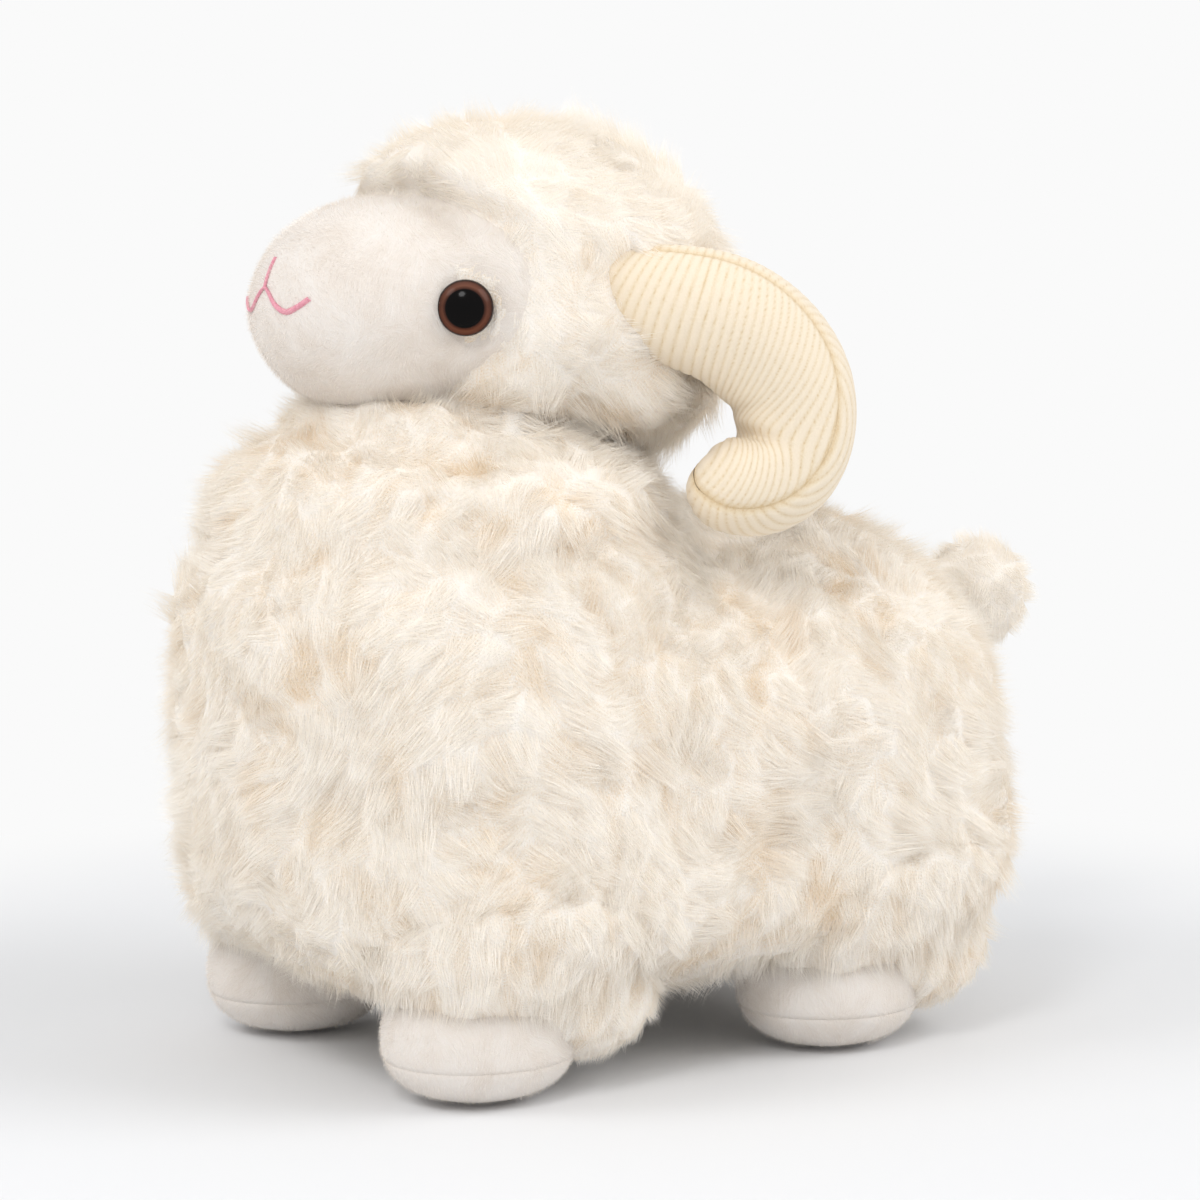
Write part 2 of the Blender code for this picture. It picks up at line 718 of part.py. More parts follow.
def make_leg(name, side, foot_y, root, body_clearance):
    """Fleece sleeve, foot cover, sole and the stuffing that fills them."""
    x = side * (BODY_WIDTH / 2 - FOOT_SIDE_INSET)
    foot_z = FOOT_HEIGHT / 2 - FOOT_FLAT
    leg = Form(f"{name}_leg", (x, foot_y + LEG_SETBACK, LEG_FLOOR_GAP + LEG_HEIGHT / 2),
               lobes(LEG_SIZE, LEG_LOBE_SHARES), LEG_DETAIL)
    foot = Form(f"{name}_foot", (x, foot_y, foot_z), lobes(FOOT_SIZE, FOOT_LOBE_SHARES), FOOT_DETAIL)
    inside = hollow(f"{name}_hollow", middle_of(leg, LEG_SIZE, LEG_HOLLOW_SHARES),
                    [(leg, FLEECE_THICKNESS), (foot, PLUSH_THICKNESS)], LEG_HOLLOW_DETAIL)
    space = inside.cutter(root)
    leg_clearance = leg.clearance(root)

    sleeve = finish(leg.skin(f"{name}_leg_fleece", root), FLEECE_LOOK)
    carve(sleeve, space, body_clearance)

    reach = LEG_LENGTH
    low_x = x - reach
    high_x = x + reach
    low_y = foot_y - reach
    high_y = foot_y + reach
    above_sole = block(f"{name}_above_sole", (low_x, low_y, SOLE_HEIGHT + SEAM_GAP / 2),
                       (high_x, high_y, reach), root)
    below_cover = block(f"{name}_below_cover", (low_x, low_y, 0.0),
                        (high_x, high_y, SOLE_HEIGHT - SEAM_GAP / 2), root)
    for piece_name, part_kept in (("foot_cover", above_sole), ("sole", below_cover)):
        piece = finish(foot.skin(f"{name}_{piece_name}", root), PLUSH_LOOK)
        carve(piece, space)
        keep_inside(piece, part_kept)
        carve(piece, leg_clearance, body_clearance)

    stuffing = finish(inside.filling(f"{name}_leg_stuffing", root), FIBRE_LOOK)
    carve(stuffing, body_clearance)


def make_legs(root, body_clearance):
    front_y = FRONT_FOOT_INSET - BODY_LENGTH / 2
    hind_y = BODY_LENGTH / 2 - HIND_FOOT_INSET
    for end_name, foot_y in (("front", front_y), ("hind", hind_y)):
        for side_name, side in SIDES:
            make_leg(f"{end_name}_{side_name}", side, foot_y, root, body_clearance)


def make_tail(root, body_clearance):
    """Fleece puff with stuffing, hinged at the upper edge of its root seam on the rump."""
    hinge = bpy.data.objects.new("tail_hinge", None)
    above_middle = Vector((0.0, TAIL.place.y - BODY.place.y, TAIL.place.z - BODY.place.z + TAIL_HINGE_RISE))
    hinge.location = BODY.surface(above_middle)
    link(hinge, PARTS, root)
    inside = hollow("tail_hollow", middle_of(TAIL, TAIL_SIZE, TAIL_HOLLOW_SHARES),
                    [(TAIL, TAIL_FLEECE_THICKNESS)], TAIL_HOLLOW_DETAIL)
    space = inside.cutter(hinge)
    puff = finish(TAIL.skin("tail_fleece", hinge), FLEECE_LOOK)
    carve(puff, space, body_clearance)
    stuffing = finish(inside.filling("tail_stuffing", hinge), FIBRE_LOOK)
    carve(stuffing, body_clearance)
    for obj in (space, puff, stuffing):
        obj.location = obj.location - hinge.location


def centre_on_origin(root):
    """Slide the whole sheep so that its chest and its tail end equally far from the origin."""
    chest = min(BODY.place.y + vert.co.y for vert in BODY_CLEARANCE.data.vertices) + SEAM_GAP
    tail = TAIL.place.y + TAIL_DIAMETER / 2
    root.location.y = -(chest + tail) / 2


WELD_DISTANCE = SEAM_GAP / 30
SPLIT_REACH = BODY_LENGTH + BODY_HEIGHT
BODY_SIZE = (BODY_WIDTH, BODY_LENGTH, BODY_HEIGHT)
HOOD_SIZE = (HOOD_WIDTH, HOOD_LENGTH, HOOD_HEIGHT)
FACE_SIZE = (FACE_WIDTH, FACE_LENGTH, FACE_HEIGHT)
LEG_SIZE = (LEG_WIDTH, LEG_LENGTH, LEG_HEIGHT)
FOOT_SIZE = (FOOT_WIDTH, FOOT_LENGTH, FOOT_HEIGHT)
TAIL_SIZE = (TAIL_DIAMETER, TAIL_DIAMETER, TAIL_DIAMETER)

clear_scene()
PARTS = new_collection("plush_sheep")
CUTTERS = new_collection("cutters")

BODY = Form("body", (0.0, 0.0, BELLY_CLEARANCE + BODY_HEIGHT / 2),
            lobes(BODY_SIZE, BODY_LOBE_SHARES), BODY_DETAIL)
HOOD = Form("hood", (0.0, HEAD_INSET - BODY_LENGTH / 2,
                     BELLY_CLEARANCE + BODY_HEIGHT - HEAD_SEAT + HOOD_HEIGHT / 2),
            lobes(HOOD_SIZE, HOOD_LOBE_SHARES), HOOD_DETAIL)
FACE = Form("face", HOOD.place + Vector((0.0, -FACE_FORWARD, -FACE_DROP)),
            lobes(FACE_SIZE, FACE_LOBE_SHARES), FACE_DETAIL)
TAIL = Form("tail", (0.0, BODY_LENGTH / 2 + TAIL_BACK, BELLY_CLEARANCE + TAIL_RISE),
            lobes(TAIL_SIZE, TAIL_LOBE_SHARES), TAIL_DETAIL)
HORN_ROOT = HOOD.place + Vector((HORN_ROOT_OUT, HORN_ROOT_BACK, HORN_ROOT_LIFT))

ROOT = bpy.data.objects.new("plush_sheep_origin", None)
PARTS.objects.link(ROOT)
BODY_CLEARANCE = BODY.clearance(ROOT)
make_body(ROOT)
HOOD_CLEARANCE = make_head(ROOT, BODY_CLEARANCE)
make_mouth(ROOT)
for SIDE_NAME, SIDE in SIDES:
    make_horn(SIDE_NAME, SIDE, ROOT, HOOD_CLEARANCE)
make_legs(ROOT, BODY_CLEARANCE)
make_tail(ROOT, BODY_CLEARANCE)
centre_on_origin(ROOT)
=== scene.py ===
"""Looks of a plush sheep: long clumped fleece, short pile face and feet, corduroy horns, glossy eyes.

Metres, +Z up. The sheep faces -Y and its left side is +X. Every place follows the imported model's boxes.
"""
import math

import bmesh
import bpy
import numpy as np
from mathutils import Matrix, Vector


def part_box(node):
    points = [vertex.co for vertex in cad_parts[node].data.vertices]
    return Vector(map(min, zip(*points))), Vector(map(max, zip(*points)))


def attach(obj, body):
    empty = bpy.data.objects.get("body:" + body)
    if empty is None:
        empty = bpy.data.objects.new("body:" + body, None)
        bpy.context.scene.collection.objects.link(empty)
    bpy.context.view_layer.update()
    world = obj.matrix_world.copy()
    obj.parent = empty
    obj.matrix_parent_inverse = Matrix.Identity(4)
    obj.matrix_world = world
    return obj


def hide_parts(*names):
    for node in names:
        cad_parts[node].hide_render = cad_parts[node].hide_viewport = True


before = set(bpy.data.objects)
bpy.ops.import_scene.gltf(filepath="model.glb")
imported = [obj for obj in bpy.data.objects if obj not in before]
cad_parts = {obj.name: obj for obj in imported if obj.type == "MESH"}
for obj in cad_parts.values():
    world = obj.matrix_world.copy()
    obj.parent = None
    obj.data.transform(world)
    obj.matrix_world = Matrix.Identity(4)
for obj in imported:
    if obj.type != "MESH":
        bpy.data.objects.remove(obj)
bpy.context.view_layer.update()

MM = 0.001
SIDES = (("left", 1), ("right", -1))
CORNERS = ("front_left", "front_right", "hind_left", "hind_right")

# Camera as the photograph has it
CAMERA_AZIMUTH = math.radians(56.5)
CAMERA_ELEVATION = math.radians(6.0)
CAMERA_DISTANCE = 0.9
CAMERA_TARGET = Vector((0.0, -0.0140, 0.1128))
CAMERA_LENS_MM = 104.25
SENSOR_MM = 36.0

# Sizes of the forms, close to those of the solids
BODY_SIZE = (156.0 * MM, 231.0 * MM, 150.0 * MM)
BELLY_CLEARANCE = 18.0 * MM
HOOD_SIZE = (106.0 * MM, 104.0 * MM, 94.0 * MM)
HEAD_SEAT = 22.0 * MM
HEAD_FORWARD = 17.5 * MM
FACE_SIZE = (89.0 * MM, 66.0 * MM, 60.0 * MM)
FACE_FORWARD = 17.0 * MM
FACE_DROP = 2.0 * MM
FACE_OPENING_WIDTH = 95.0 * MM
FACE_OPENING_RISE = 31.0 * MM
FACE_OPENING_FALL = 27.0 * MM
LEG_SIZE = (58.0 * MM, 72.0 * MM, 64.0 * MM)
LEG_SETBACK = 15.0 * MM
LEG_FLOOR_GAP = 3.5 * MM
FRONT_FOOT_FORWARD = 62.15 * MM
FOOT_SIZE = (45.0 * MM, 50.0 * MM, 32.0 * MM)
FOOT_FLAT = 0.5 * MM
SOLE_HEIGHT = 10.5 * MM
TAIL_DIAMETER = 32.0 * MM

# Lobes of each form: (back, up, half width, half length, half height) as shares of the form's own
# length, height, width, length and height
BODY_LOBE_SHARES = [
    (-0.262, 0.345, 0.300, 0.143, 0.145),
    (-0.195, 0.310, 0.400, 0.255, 0.180),
    (-0.193, 0.170, 0.440, 0.280, 0.290),
    (-0.200, -0.035, 0.485, 0.285, 0.430),
    (-0.185, -0.240, 0.460, 0.270, 0.250),
    (-0.020, -0.290, 0.450, 0.355, 0.230),
    (-0.020, -0.095, 0.475, 0.405, 0.390),
    (0.205, -0.085, 0.475, 0.290, 0.395),
    (0.195, -0.235, 0.450, 0.290, 0.270),
]
HOOD_LOBE_SHARES = [
    (0.010, 0.000, 0.480, 0.485, 0.480),
    (-0.165, 0.130, 0.385, 0.340, 0.330),
    (-0.195, -0.020, 0.470, 0.295, 0.440),
    (0.120, -0.130, 0.450, 0.400, 0.380),
]
# Pile that stands fuller under the chin and round each foot than its cut cloth does
CHIN_PILE_SHARES = [(-0.270, -0.390, 0.400, 0.300, 0.140)]
CUFF_PILE_SHARES = [(-0.208, -0.030, 0.465, 0.390, 0.310)]
FACE_LOBE_SHARES = [
    (-0.050, -0.010, 0.495, 0.450, 0.495),
    (-0.385, -0.030, 0.375, 0.535, 0.465),
]
LEG_LOBE_SHARES = [
    (-0.040, 0.060, 0.490, 0.460, 0.430),
    (0.080, -0.200, 0.430, 0.400, 0.290),
]
ROUND_LOBE_SHARES = [(0.0, 0.0, 0.5, 0.5, 0.5)]
TAIL_LOBE_SHARES = [
    (0.0, 0.0, 0.5, 0.5, 0.5),
    (-0.38, -0.05, 0.40, 0.45, 0.40),
]
LOBE_SHARPNESS = 16

# Depth of each fabric's backing below the outside of its pile
BODY_FLEECE_DEPTH = 2.8 * MM
HOOD_FLEECE_DEPTH = 3.0 * MM
LEG_FLEECE_DEPTH = 2.8 * MM
TAIL_FLEECE_DEPTH = 1.8 * MM
SHORT_PILE_DEPTH = 0.6 * MM

# Segments round and rings along each form
BODY_DETAIL = (300, 220)
HOOD_DETAIL = (220, 160)
FACE_DETAIL = (160, 110)
LEG_DETAIL = (108, 80)
FOOT_DETAIL = (96, 32)
TAIL_DETAIL = (90, 64)

# Fleece
STRAND_DENSITY = 1.65 / MM ** 2
FUZZ_DENSITY = 2.8 / MM ** 2

# Safety eyes
EYE_DIAMETER = 13.6 * MM
EYE_DOME_HEIGHT = 5.2 * MM
EYE_RIM = 1.0 * MM
EYE_SEAT = 1.0 * MM
EYE_TURN = math.radians(55.0)
EYE_LIFT = math.radians(-2.0)
EYE_STEPS = 64
# Each eye is drawn in, and the face dips this deep round it, fading between these distances
SOCKET_DEPTH = 1.2 * MM
SOCKET_REACH = (5.0 * MM, 15.0 * MM)

# Stitched mouth
SMILE_THREAD = 1.7 * MM
PHILTRUM_THREAD = 0.8 * MM
SMILE_WIDTH = 36.0 * MM
SMILE_DROP = 6.3 * MM
PHILTRUM_HEIGHT = 8.5 * MM
MOUTH_RISE = 3.5 * MM
SMILE_SHARES = [(1.0, 0.43), (0.78, 0.80), (0.56, 1.0), (0.34, 0.76), (0.15, 0.25), (0.0, 0.0)]
STITCH_SPACING = 0.34 * MM
STITCH_LEAN = 0.35
STITCH_SIDES = 6
STITCH_RADIUS = 0.24 * MM
# Half the stretch of the line that gives a stitch its direction
STITCH_REACH = 0.2 * MM

# Horns
HORN_REACH = 58.0 * MM
HORN_DIAMETER = 35.0 * MM
HORN_ROOT = (38.0 * MM, 3.0 * MM, -2.0 * MM)
RIB_SPACING = 2.4 * MM
RIB_DEPTH = 0.34 * MM
HORN_LINE_SHARES = [
    (-0.16, -0.10, 0.06, 0.70),
    (0.02, -0.02, 0.02, 0.74),
    (0.19, 0.12, -0.02, 0.85),
    (0.31, 0.28, -0.08, 0.92),
    (0.38, 0.43, -0.20, 0.94),
    (0.42, 0.53, -0.36, 0.93),
    (0.43, 0.55, -0.53, 0.90),
    (0.42, 0.50, -0.675, 0.87),
    (0.40, 0.385, -0.755, 0.81),
    (0.37, 0.255, -0.765, 0.69),
    (0.345, 0.165, -0.735, 0.60),
    (0.325, 0.115, -0.705, 0.56),
]
HORN_RINGS = 260
HORN_TURNS = 90
# Lean of the ribs, the turned in edge of each horn panel, how tightly the inside of a bend may fold, the
# length of the rounded tip, the panels' seam, and its turn about the horn's line
GRAIN_TILT = math.radians(70.0)
SEAM_LAP = math.radians(1.5)
BEND_SHARE = 0.8
HORN_TIP = 9.0 * MM
HORN_SEAM_WIDTH = 1.6 * MM
HORN_SEAM_DEPTH = 0.35 * MM
SEAM_TURN = math.radians(44.0)

# How far from a leg or the tail the body swells towards it, the heights between which that fades out to
# the floor, and the depths in another form between which fleece thins to nothing
LEG_FILLET = 36.0 * MM
TAIL_FILLET = 9.0 * MM
FILLET_HEIGHTS = (14.0 * MM, 46.0 * MM)
HIDDEN_DEPTHS = (3.5 * MM, 7.0 * MM)

# Fold where the head's fleece meets the body's, the tacked dimple on each haunch, the hanging belly and
# the shoulder, which is slimmer from these heights up and from these places forward
CHIN_FOLD = [(0.0, -0.1040, 0.1630), (0.0200, -0.1020, 0.1605), (0.0334, -0.0995, 0.1585),
             (0.0430, -0.0910, 0.1575), (0.0482, -0.0831, 0.1575), (0.0480, -0.0686, 0.1590),
             (0.0475, -0.0412, 0.1575)]
CHIN_SWELL = [(0.0, -0.0900, 0.1620), (0.0300, -0.0840, 0.1600)]
CHIN_SWELL_RISE = 6.5 * MM
CHIN_SWELL_WIDTH = 9.0 * MM
FOLD_DEPTH = 4.5 * MM
FOLD_WIDTH = 5.0 * MM
DIMPLE = [(0.0698, 0.0051, 0.0469), (0.0700, 0.0051, 0.0469)]
DIMPLE_DEPTH = 3.5 * MM
DIMPLE_WIDTH = 5.0 * MM
BELLY_SAG = 2.5 * MM
BELLY_HEIGHTS = (18.0 * MM, 45.0 * MM)
SHOULDER_INSET = 3.0 * MM
SHOULDER_HEIGHTS = (110.0 * MM, 145.0 * MM)
SHOULDER_PLACES = (-90.0 * MM, -50.0 * MM)

# Where the strands of each side of the body part into pieces, from front to back
BODY_CUTS = [(-1.0, -0.075), (-0.075, -0.030), (-0.030, 0.020), (0.020, 0.060), (0.060, 1.0)]

# Fuller pile before each horn's root and below it: place from the hood's middle, rise and width in mm
HOOD_SWELLS = [(48.0, -8.0, -5.0, 6.0, 14.0), (44.0, 2.0, -27.0, 8.0, 12.0)]

# Feet: 2 is an ellipse in profile and more is squarer, and the seam pulls in this share of the width
FOOT_SQUARENESS = 2.4
FOOT_SEAM_SHARE = 0.014
FOOT_SEAM_WIDTH = 1.3 * MM

# Values that a finished mesh keeps, those of its own and those that the strands' material reads
BUILT_IN = ("position", "material_index", "sharp_face", "UVMap")
STRAND_VALUES = ("strand_height", "strand_tone", "strand_tone_and_painted_shade")

# Light, from the surroundings and from three lamps in watts
WORLD_STRENGTH = 0.69
KEY_POWER = 6.3
FILL_POWER = 12.5
GLINT_POWER = 2.8
# The floor, whose shading gives way to plain white between these distances from the middle
FLOOR_RADIUS = 4.0
FLOOR_SIDES = 64
SHADOW_REACH = (0.19, 0.36)

# Short names for a type of node with its settings
SHORT_NAMES = {
    "stored": ("GeometryNodeInputNamedAttribute", {"data_type": "FLOAT"}),
    "stored count": ("GeometryNodeInputNamedAttribute", {"data_type": "INT"}),
    "stored vector": ("GeometryNodeInputNamedAttribute", {"data_type": "FLOAT_VECTOR"}),
    "keep": ("GeometryNodeStoreNamedAttribute", {"data_type": "FLOAT", "domain": "POINT"}),
    "keep vector": ("GeometryNodeStoreNamedAttribute", {"data_type": "FLOAT_VECTOR", "domain": "POINT"}),
    "random": ("FunctionNodeRandomValue", {"data_type": "FLOAT"}),
    "random vector": ("FunctionNodeRandomValue", {"data_type": "FLOAT_VECTOR"}),
    "moved": ("ShaderNodeVectorMath", {"operation": "ADD"}),
    "less": ("ShaderNodeVectorMath", {"operation": "SUBTRACT"}),
    "scaled": ("ShaderNodeVectorMath", {"operation": "SCALE"}),
    "cross": ("ShaderNodeVectorMath", {"operation": "CROSS_PRODUCT"}),
    "dot": ("ShaderNodeVectorMath", {"operation": "DOT_PRODUCT"}),
    "unit": ("ShaderNodeVectorMath", {"operation": "NORMALIZE"}),
    "length": ("ShaderNodeVectorMath", {"operation": "LENGTH"}),
    "multiplied": ("ShaderNodeMix", {"data_type": "RGBA", "blend_type": "MULTIPLY"}),
}
for operation in ("ADD", "SUBTRACT", "MULTIPLY", "DIVIDE", "POWER", "MAXIMUM", "ABSOLUTE", "SINE"):
    SHORT_NAMES[operation] = ("ShaderNodeMath", {"operation": operation})


def linear(hex_colour):
    """An sRGB hex colour as linear red, green, blue and alpha."""
    channels = [int(hex_colour[i:i + 2], 16) / 255 for i in (1, 3, 5)]
    made = [c / 12.92 if c <= 0.04045 else ((c + 0.055) / 1.055) ** 2.4 for c in channels]
    return (*made, 1.0)


def find_input(node, name):
    """An enabled input by its number, or by its name with underscores for spaces."""
    enabled = [socket for socket in node.inputs if socket.enabled]
    if isinstance(name, int):
        return enabled[name]
    wanted = name.replace("_", " ").lower()
    return next(socket for socket in enabled if socket.name.lower() == wanted)


def add(tree, kind, *values, settings=None, **inputs):
    """Add a node with its settings, set or link its inputs, and return its first output."""
    kind, own = SHORT_NAMES.get(kind, (kind, {}))
    node = tree.nodes.new(kind)
    for name, value in {**own, **(settings or {})}.items():
        setattr(node, name, value)
    for name, value in (*enumerate(values), *inputs.items()):
        socket = find_input(node, name)
        if isinstance(value, bpy.types.NodeSocket):
            tree.links.new(value, socket)
        else:
            socket.default_value = value
    return next((socket for socket in node.outputs if socket.enabled), None)


def output(socket, name):
    """Another output of the node that a socket belongs to."""
    return next(each for each in socket.node.outputs if each.enabled and each.name == name)


def new_tree(name, result, inputs):
    """A Geometry Nodes tree with named inputs: geometry in, geometry out."""
    tree = bpy.data.node_groups.new(name, "GeometryNodeTree")
    tree.interface.new_socket("Geometry", in_out="INPUT", socket_type="NodeSocketGeometry")
    for label, kind, value in inputs:
        socket = tree.interface.new_socket(label, in_out="INPUT", socket_type=f"NodeSocket{kind}")
        if value is not None:
            socket.default_value = value
    tree.interface.new_socket(result, in_out="OUTPUT", socket_type="NodeSocketGeometry")
    return tree, tree.nodes.new("NodeGroupInput").outputs


def end_tree(tree, geometry, material):
    """Finish a tree: real meshes with their material."""
    whole = add(tree, "GeometryNodeRealizeInstances", geometry=geometry)
    whole = add(tree, "GeometryNodeSetMaterial", geometry=whole, material=material)
    tree.links.new(whole, tree.nodes.new("NodeGroupOutput").inputs[0])


def run_tree(carrier, tree, name, values, kept=(), smooth=True):
    """The result of a tree on a carrier as a plain mesh object of its own."""
    modifier = carrier.modifiers.new("tree", "NODES")
    modifier.node_group = tree
    for item in tree.interface.items_tree:
        if item.in_out == "INPUT" and item.name in values:
            modifier[item.identifier] = values[item.name]
    carrier.update_tag()
    depsgraph = bpy.context.evaluated_depsgraph_get()
    mesh = bpy.data.meshes.new_from_object(carrier.evaluated_get(depsgraph))
    carrier.modifiers.remove(modifier)
    for attribute in [each.name for each in mesh.attributes]:
        own = mesh.attributes[attribute]
        if not (own.is_required or own.is_internal or attribute in kept or attribute in BUILT_IN):
            mesh.attributes.remove(own)
    mesh.name = name
    if smooth:
        mesh.shade_smooth()
    else:
        mesh.shade_flat()
    return link(bpy.data.objects.new(name, mesh))


def link(obj):
    bpy.context.scene.collection.objects.link(obj)
    return obj


class Form:
    """A soft form, made as the solids are: lobes swelled about one middle."""

    def __init__(self, place, size, shares):
        self.place = np.array(place, float)
        width, length, height = size
        self.centres = np.array([(0.0, row[0] * length, row[1] * height) for row in shares])
        self.radii = np.array([(row[2] * width, row[3] * length, row[4] * height) for row in shares])

    def reach(self, directions, depth=0.0):
        """Distance from the middle to the surface, this deep in the form, along each unit direction."""
        total = np.zeros(len(directions))
        for centre, radii in zip(self.centres, self.radii - depth):
            ray = directions / radii
            start = centre / radii
            along = ray @ start
            length = (ray * ray).sum(1)
            inside = along * along - length * (start @ start - 1.0)
            far = np.where(inside > 0.0, along + np.sqrt(np.maximum(inside, 0.0)), 0.0)
            total += (np.maximum(far, 0.0) / length) ** LOBE_SHARPNESS
        return total ** (1.0 / LOBE_SHARPNESS)

    def surface(self, directions, depth=0.0):
        """Points of the surface along directions, which needn't be unit ones."""
        units = unit(np.atleast_2d(np.array(directions, float)))
        return self.place + units * self.reach(units, depth)[:, None]

    def cover(self, points, depth=0.0):
        """How far each point lies inside the form, negative outside."""
        away = points - self.place
        distance = np.maximum(np.linalg.norm(away, axis=1), 1e-6)
        return self.reach(away / distance[:, None], depth) - distance


def stacked(rings, segments):
    """Faces of closed rings of points that follow each other, with one more point for each end."""
    faces = []
    start, end = rings * segments, rings * segments + 1
    for i in range(segments):
        j = (i + 1) % segments
        for ring in range(0, (rings - 1) * segments, segments):
            faces.append((ring + i, ring + j, ring + segments + j, ring + segments + i))
        faces.append((start, i, j))
        faces.append((end, start - segments + i, start - segments + j))
    return faces


def ball(detail):
    """Unit directions and faces of a sphere with its poles at the front and the back."""
    segments, rings = detail
    turn = np.linspace(0.0, 2 * math.pi, segments, endpoint=False)
    rise = np.linspace(0.0, math.pi, rings + 1)[1:-1, None]
    found = np.stack([np.sin(rise) * np.cos(turn), -np.cos(rise) + 0.0 * turn,
                      np.sin(rise) * np.sin(turn)], 2)
    found = np.concatenate([found.reshape(-1, 3), [(0.0, -1.0, 0.0), (0.0, 1.0, 0.0)]])
    return found, stacked(rings - 1, segments)


def solid(name, points, faces, material=None):
    """A mesh object at the origin with its faces pointing out."""
    mesh = bpy.data.meshes.new(name)
    mesh.from_pydata([tuple(point) for point in points], [], [tuple(face) for face in faces])
    bm = bmesh.new()
    bm.from_mesh(mesh)
    bmesh.ops.recalc_face_normals(bm, faces=bm.faces)
    bm.to_mesh(mesh)
    bm.free()
    mesh.shade_smooth()
    if material is not None:
        mesh.materials.append(material)
    return link(bpy.data.objects.new(name, mesh))


def store(obj, name, values, kind="FLOAT", domain="POINT"):
    """Keep numbers on a mesh under a name that trees and materials read."""
    attribute = obj.data.attributes.new(name, kind, domain)
    dtype = np.int32 if kind == "INT" else np.float32
    attribute.data.foreach_set("value", np.ascontiguousarray(values, dtype))


def store_cover(obj, cover, length, panel=0):
    """Keep how densely strands stand, how long they are and which panel each face belongs to."""
    store(obj, "cover_share", cover)
    store(obj, "length_share", np.broadcast_to(length, len(cover)))
    store(obj, "panel", np.broadcast_to(panel, len(obj.data.polygons)), "INT", "FACE")


def points_of(obj):
    flat = np.zeros(len(obj.data.vertices) * 3, np.float32)
    obj.data.vertices.foreach_get("co", flat)
    return flat.reshape(-1, 3).astype(float)


def face_middles(obj):
    flat = np.zeros(len(obj.data.polygons) * 3, np.float32)
    obj.data.polygons.foreach_get("center", flat)
    return flat.reshape(-1, 3).astype(float)


def unit(vectors):
    """One vector, or rows of them, at length 1."""
    if vectors.ndim == 1:
        return vectors / np.linalg.norm(vectors)
    return vectors / np.linalg.norm(vectors, axis=1)[:, None]


def lengths_along(line):
    """How far along its line each point lies."""
    return np.concatenate([[0.0], np.cumsum(np.linalg.norm(np.diff(line, axis=0), axis=1))])


def ease(values, low, high):
    """Smooth step from 0 at low to 1 at high."""
    share = np.clip((np.asarray(values, float) - low) / (high - low), 0.0, 1.0)
    return share * share * (3.0 - 2.0 * share)


def finish_piece(obj, body, nodes):
    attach(obj, body)
    if nodes:
        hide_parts(*nodes)


def new_material(name, **values):
    """A material, its tree and its shader, with plain values of the shader set by name."""
    material = bpy.data.materials.new(name)
    material.use_nodes = True
    tree = material.node_tree
    shader = tree.nodes["Principled BSDF"]
    for label, value in values.items():
        shader.inputs[label.replace("_", " ")].default_value = value
    return material, tree, shader


def colour_ramp(tree, factor, *stops):
    """A colour ramp from (position, hex colour) stops."""
    made = add(tree, "ShaderNodeValToRGB", fac=factor)
    elements = made.node.color_ramp.elements
    while len(elements) < len(stops):
        elements.new(1.0)
    for element, (position, hex_colour) in zip(elements, stops):
        element.position = position
        element.color = linear(hex_colour)
    return made


def fleece_material():
    """Polyester long pile: matt fibres that let light through, with painted shade that makes them warm at the
    roots and in the hollows of the backing, near white at the tips.
    """
    material, tree, shader = new_material("polyester_long_pile", Roughness=0.9, Specular_IOR_Level=0.15)
    height = output(add(tree, "ShaderNodeAttribute", settings={"attribute_name": "strand_height"}), "Fac")
    tone = output(add(tree, "ShaderNodeAttribute", settings={"attribute_name": "strand_tone"}), "Fac")
    depth = output(add(tree, "ShaderNodeAttribute", settings={"attribute_name": "strand_tone_and_painted_shade"}), "Fac")
    # Painted shade: the strands are warmer towards their roots, and tan where they stand in a hollow of the
    # backing
    along = colour_ramp(tree, height, (0.0, "#FCF6EE"), (0.45, "#FFFBF6"), (0.9, "#FFFEFC"))
    tones = colour_ramp(tree, tone, (0.0, "#FDFAF6"), (1.0, "#FFFFFF"))
    painted_hollow_shade = colour_ramp(tree, depth, (0.0, "#F8EAD6"), (0.45, "#FFFEFB"))
    colour = add(tree, "multiplied", factor=1.0, a=along, b=tones)
    colour = add(tree, "multiplied", factor=1.0, a=colour, b=painted_hollow_shade)
    tree.links.new(colour, shader.inputs["Base Color"])
    return material


def backing_material():
    """Matted lower pile on its knitted backing: creamy where tufts stand, with painted shade that makes it
    tan in the hollows between them and in folds.
    """
    material, tree, shader = new_material("matted_lower_pile", Roughness=1.0, Specular_IOR_Level=0.1)
    place = output(add(tree, "ShaderNodeTexCoord"), "Object")
    tone_and_painted_shade = output(add(tree, "ShaderNodeAttribute", settings={"attribute_name": "tone_and_painted_shade"}), "Fac")
    fibres = brushed(tree, place, 0.5 * MM, 0.9 * MM)
    uneven = add(tree, "MULTIPLY", add(tree, "SUBTRACT", fibres, 0.5), 0.6)
    uneven = add(tree, "ADD", tone_and_painted_shade, uneven)
    tree.links.new(colour_ramp(tree, uneven, (0.0, "#EAD8BE"), (0.3, "#F3E8DA"), (0.65, "#F8F2EA")),
                   shader.inputs["Base Color"])
    bump = add(tree, "ShaderNodeBump", strength=0.5, distance=0.5 * MM, height=fibres)
    tree.links.new(bump, shader.inputs["Normal"])
    return material


def brushed(tree, place, size, step):
    """Fine noise smeared along the stored lie of the pile, as fibres lie side by side."""
    lie = output(add(tree, "ShaderNodeAttribute", settings={"attribute_name": "lie"}), "Vector")
    total = None
    for i in (-2, -1, 0, 1, 2):
        there = add(tree, "moved", place, add(tree, "scaled", lie, i * step))
        tone = add(tree, "ShaderNodeTexNoise", vector=there, scale=1.0 / size, detail=1.0)
        total = tone if total is None else add(tree, "ADD", total, tone)
    return add(tree, "ShaderNodeMapRange", value=total, from_min=1.9, from_max=3.1)


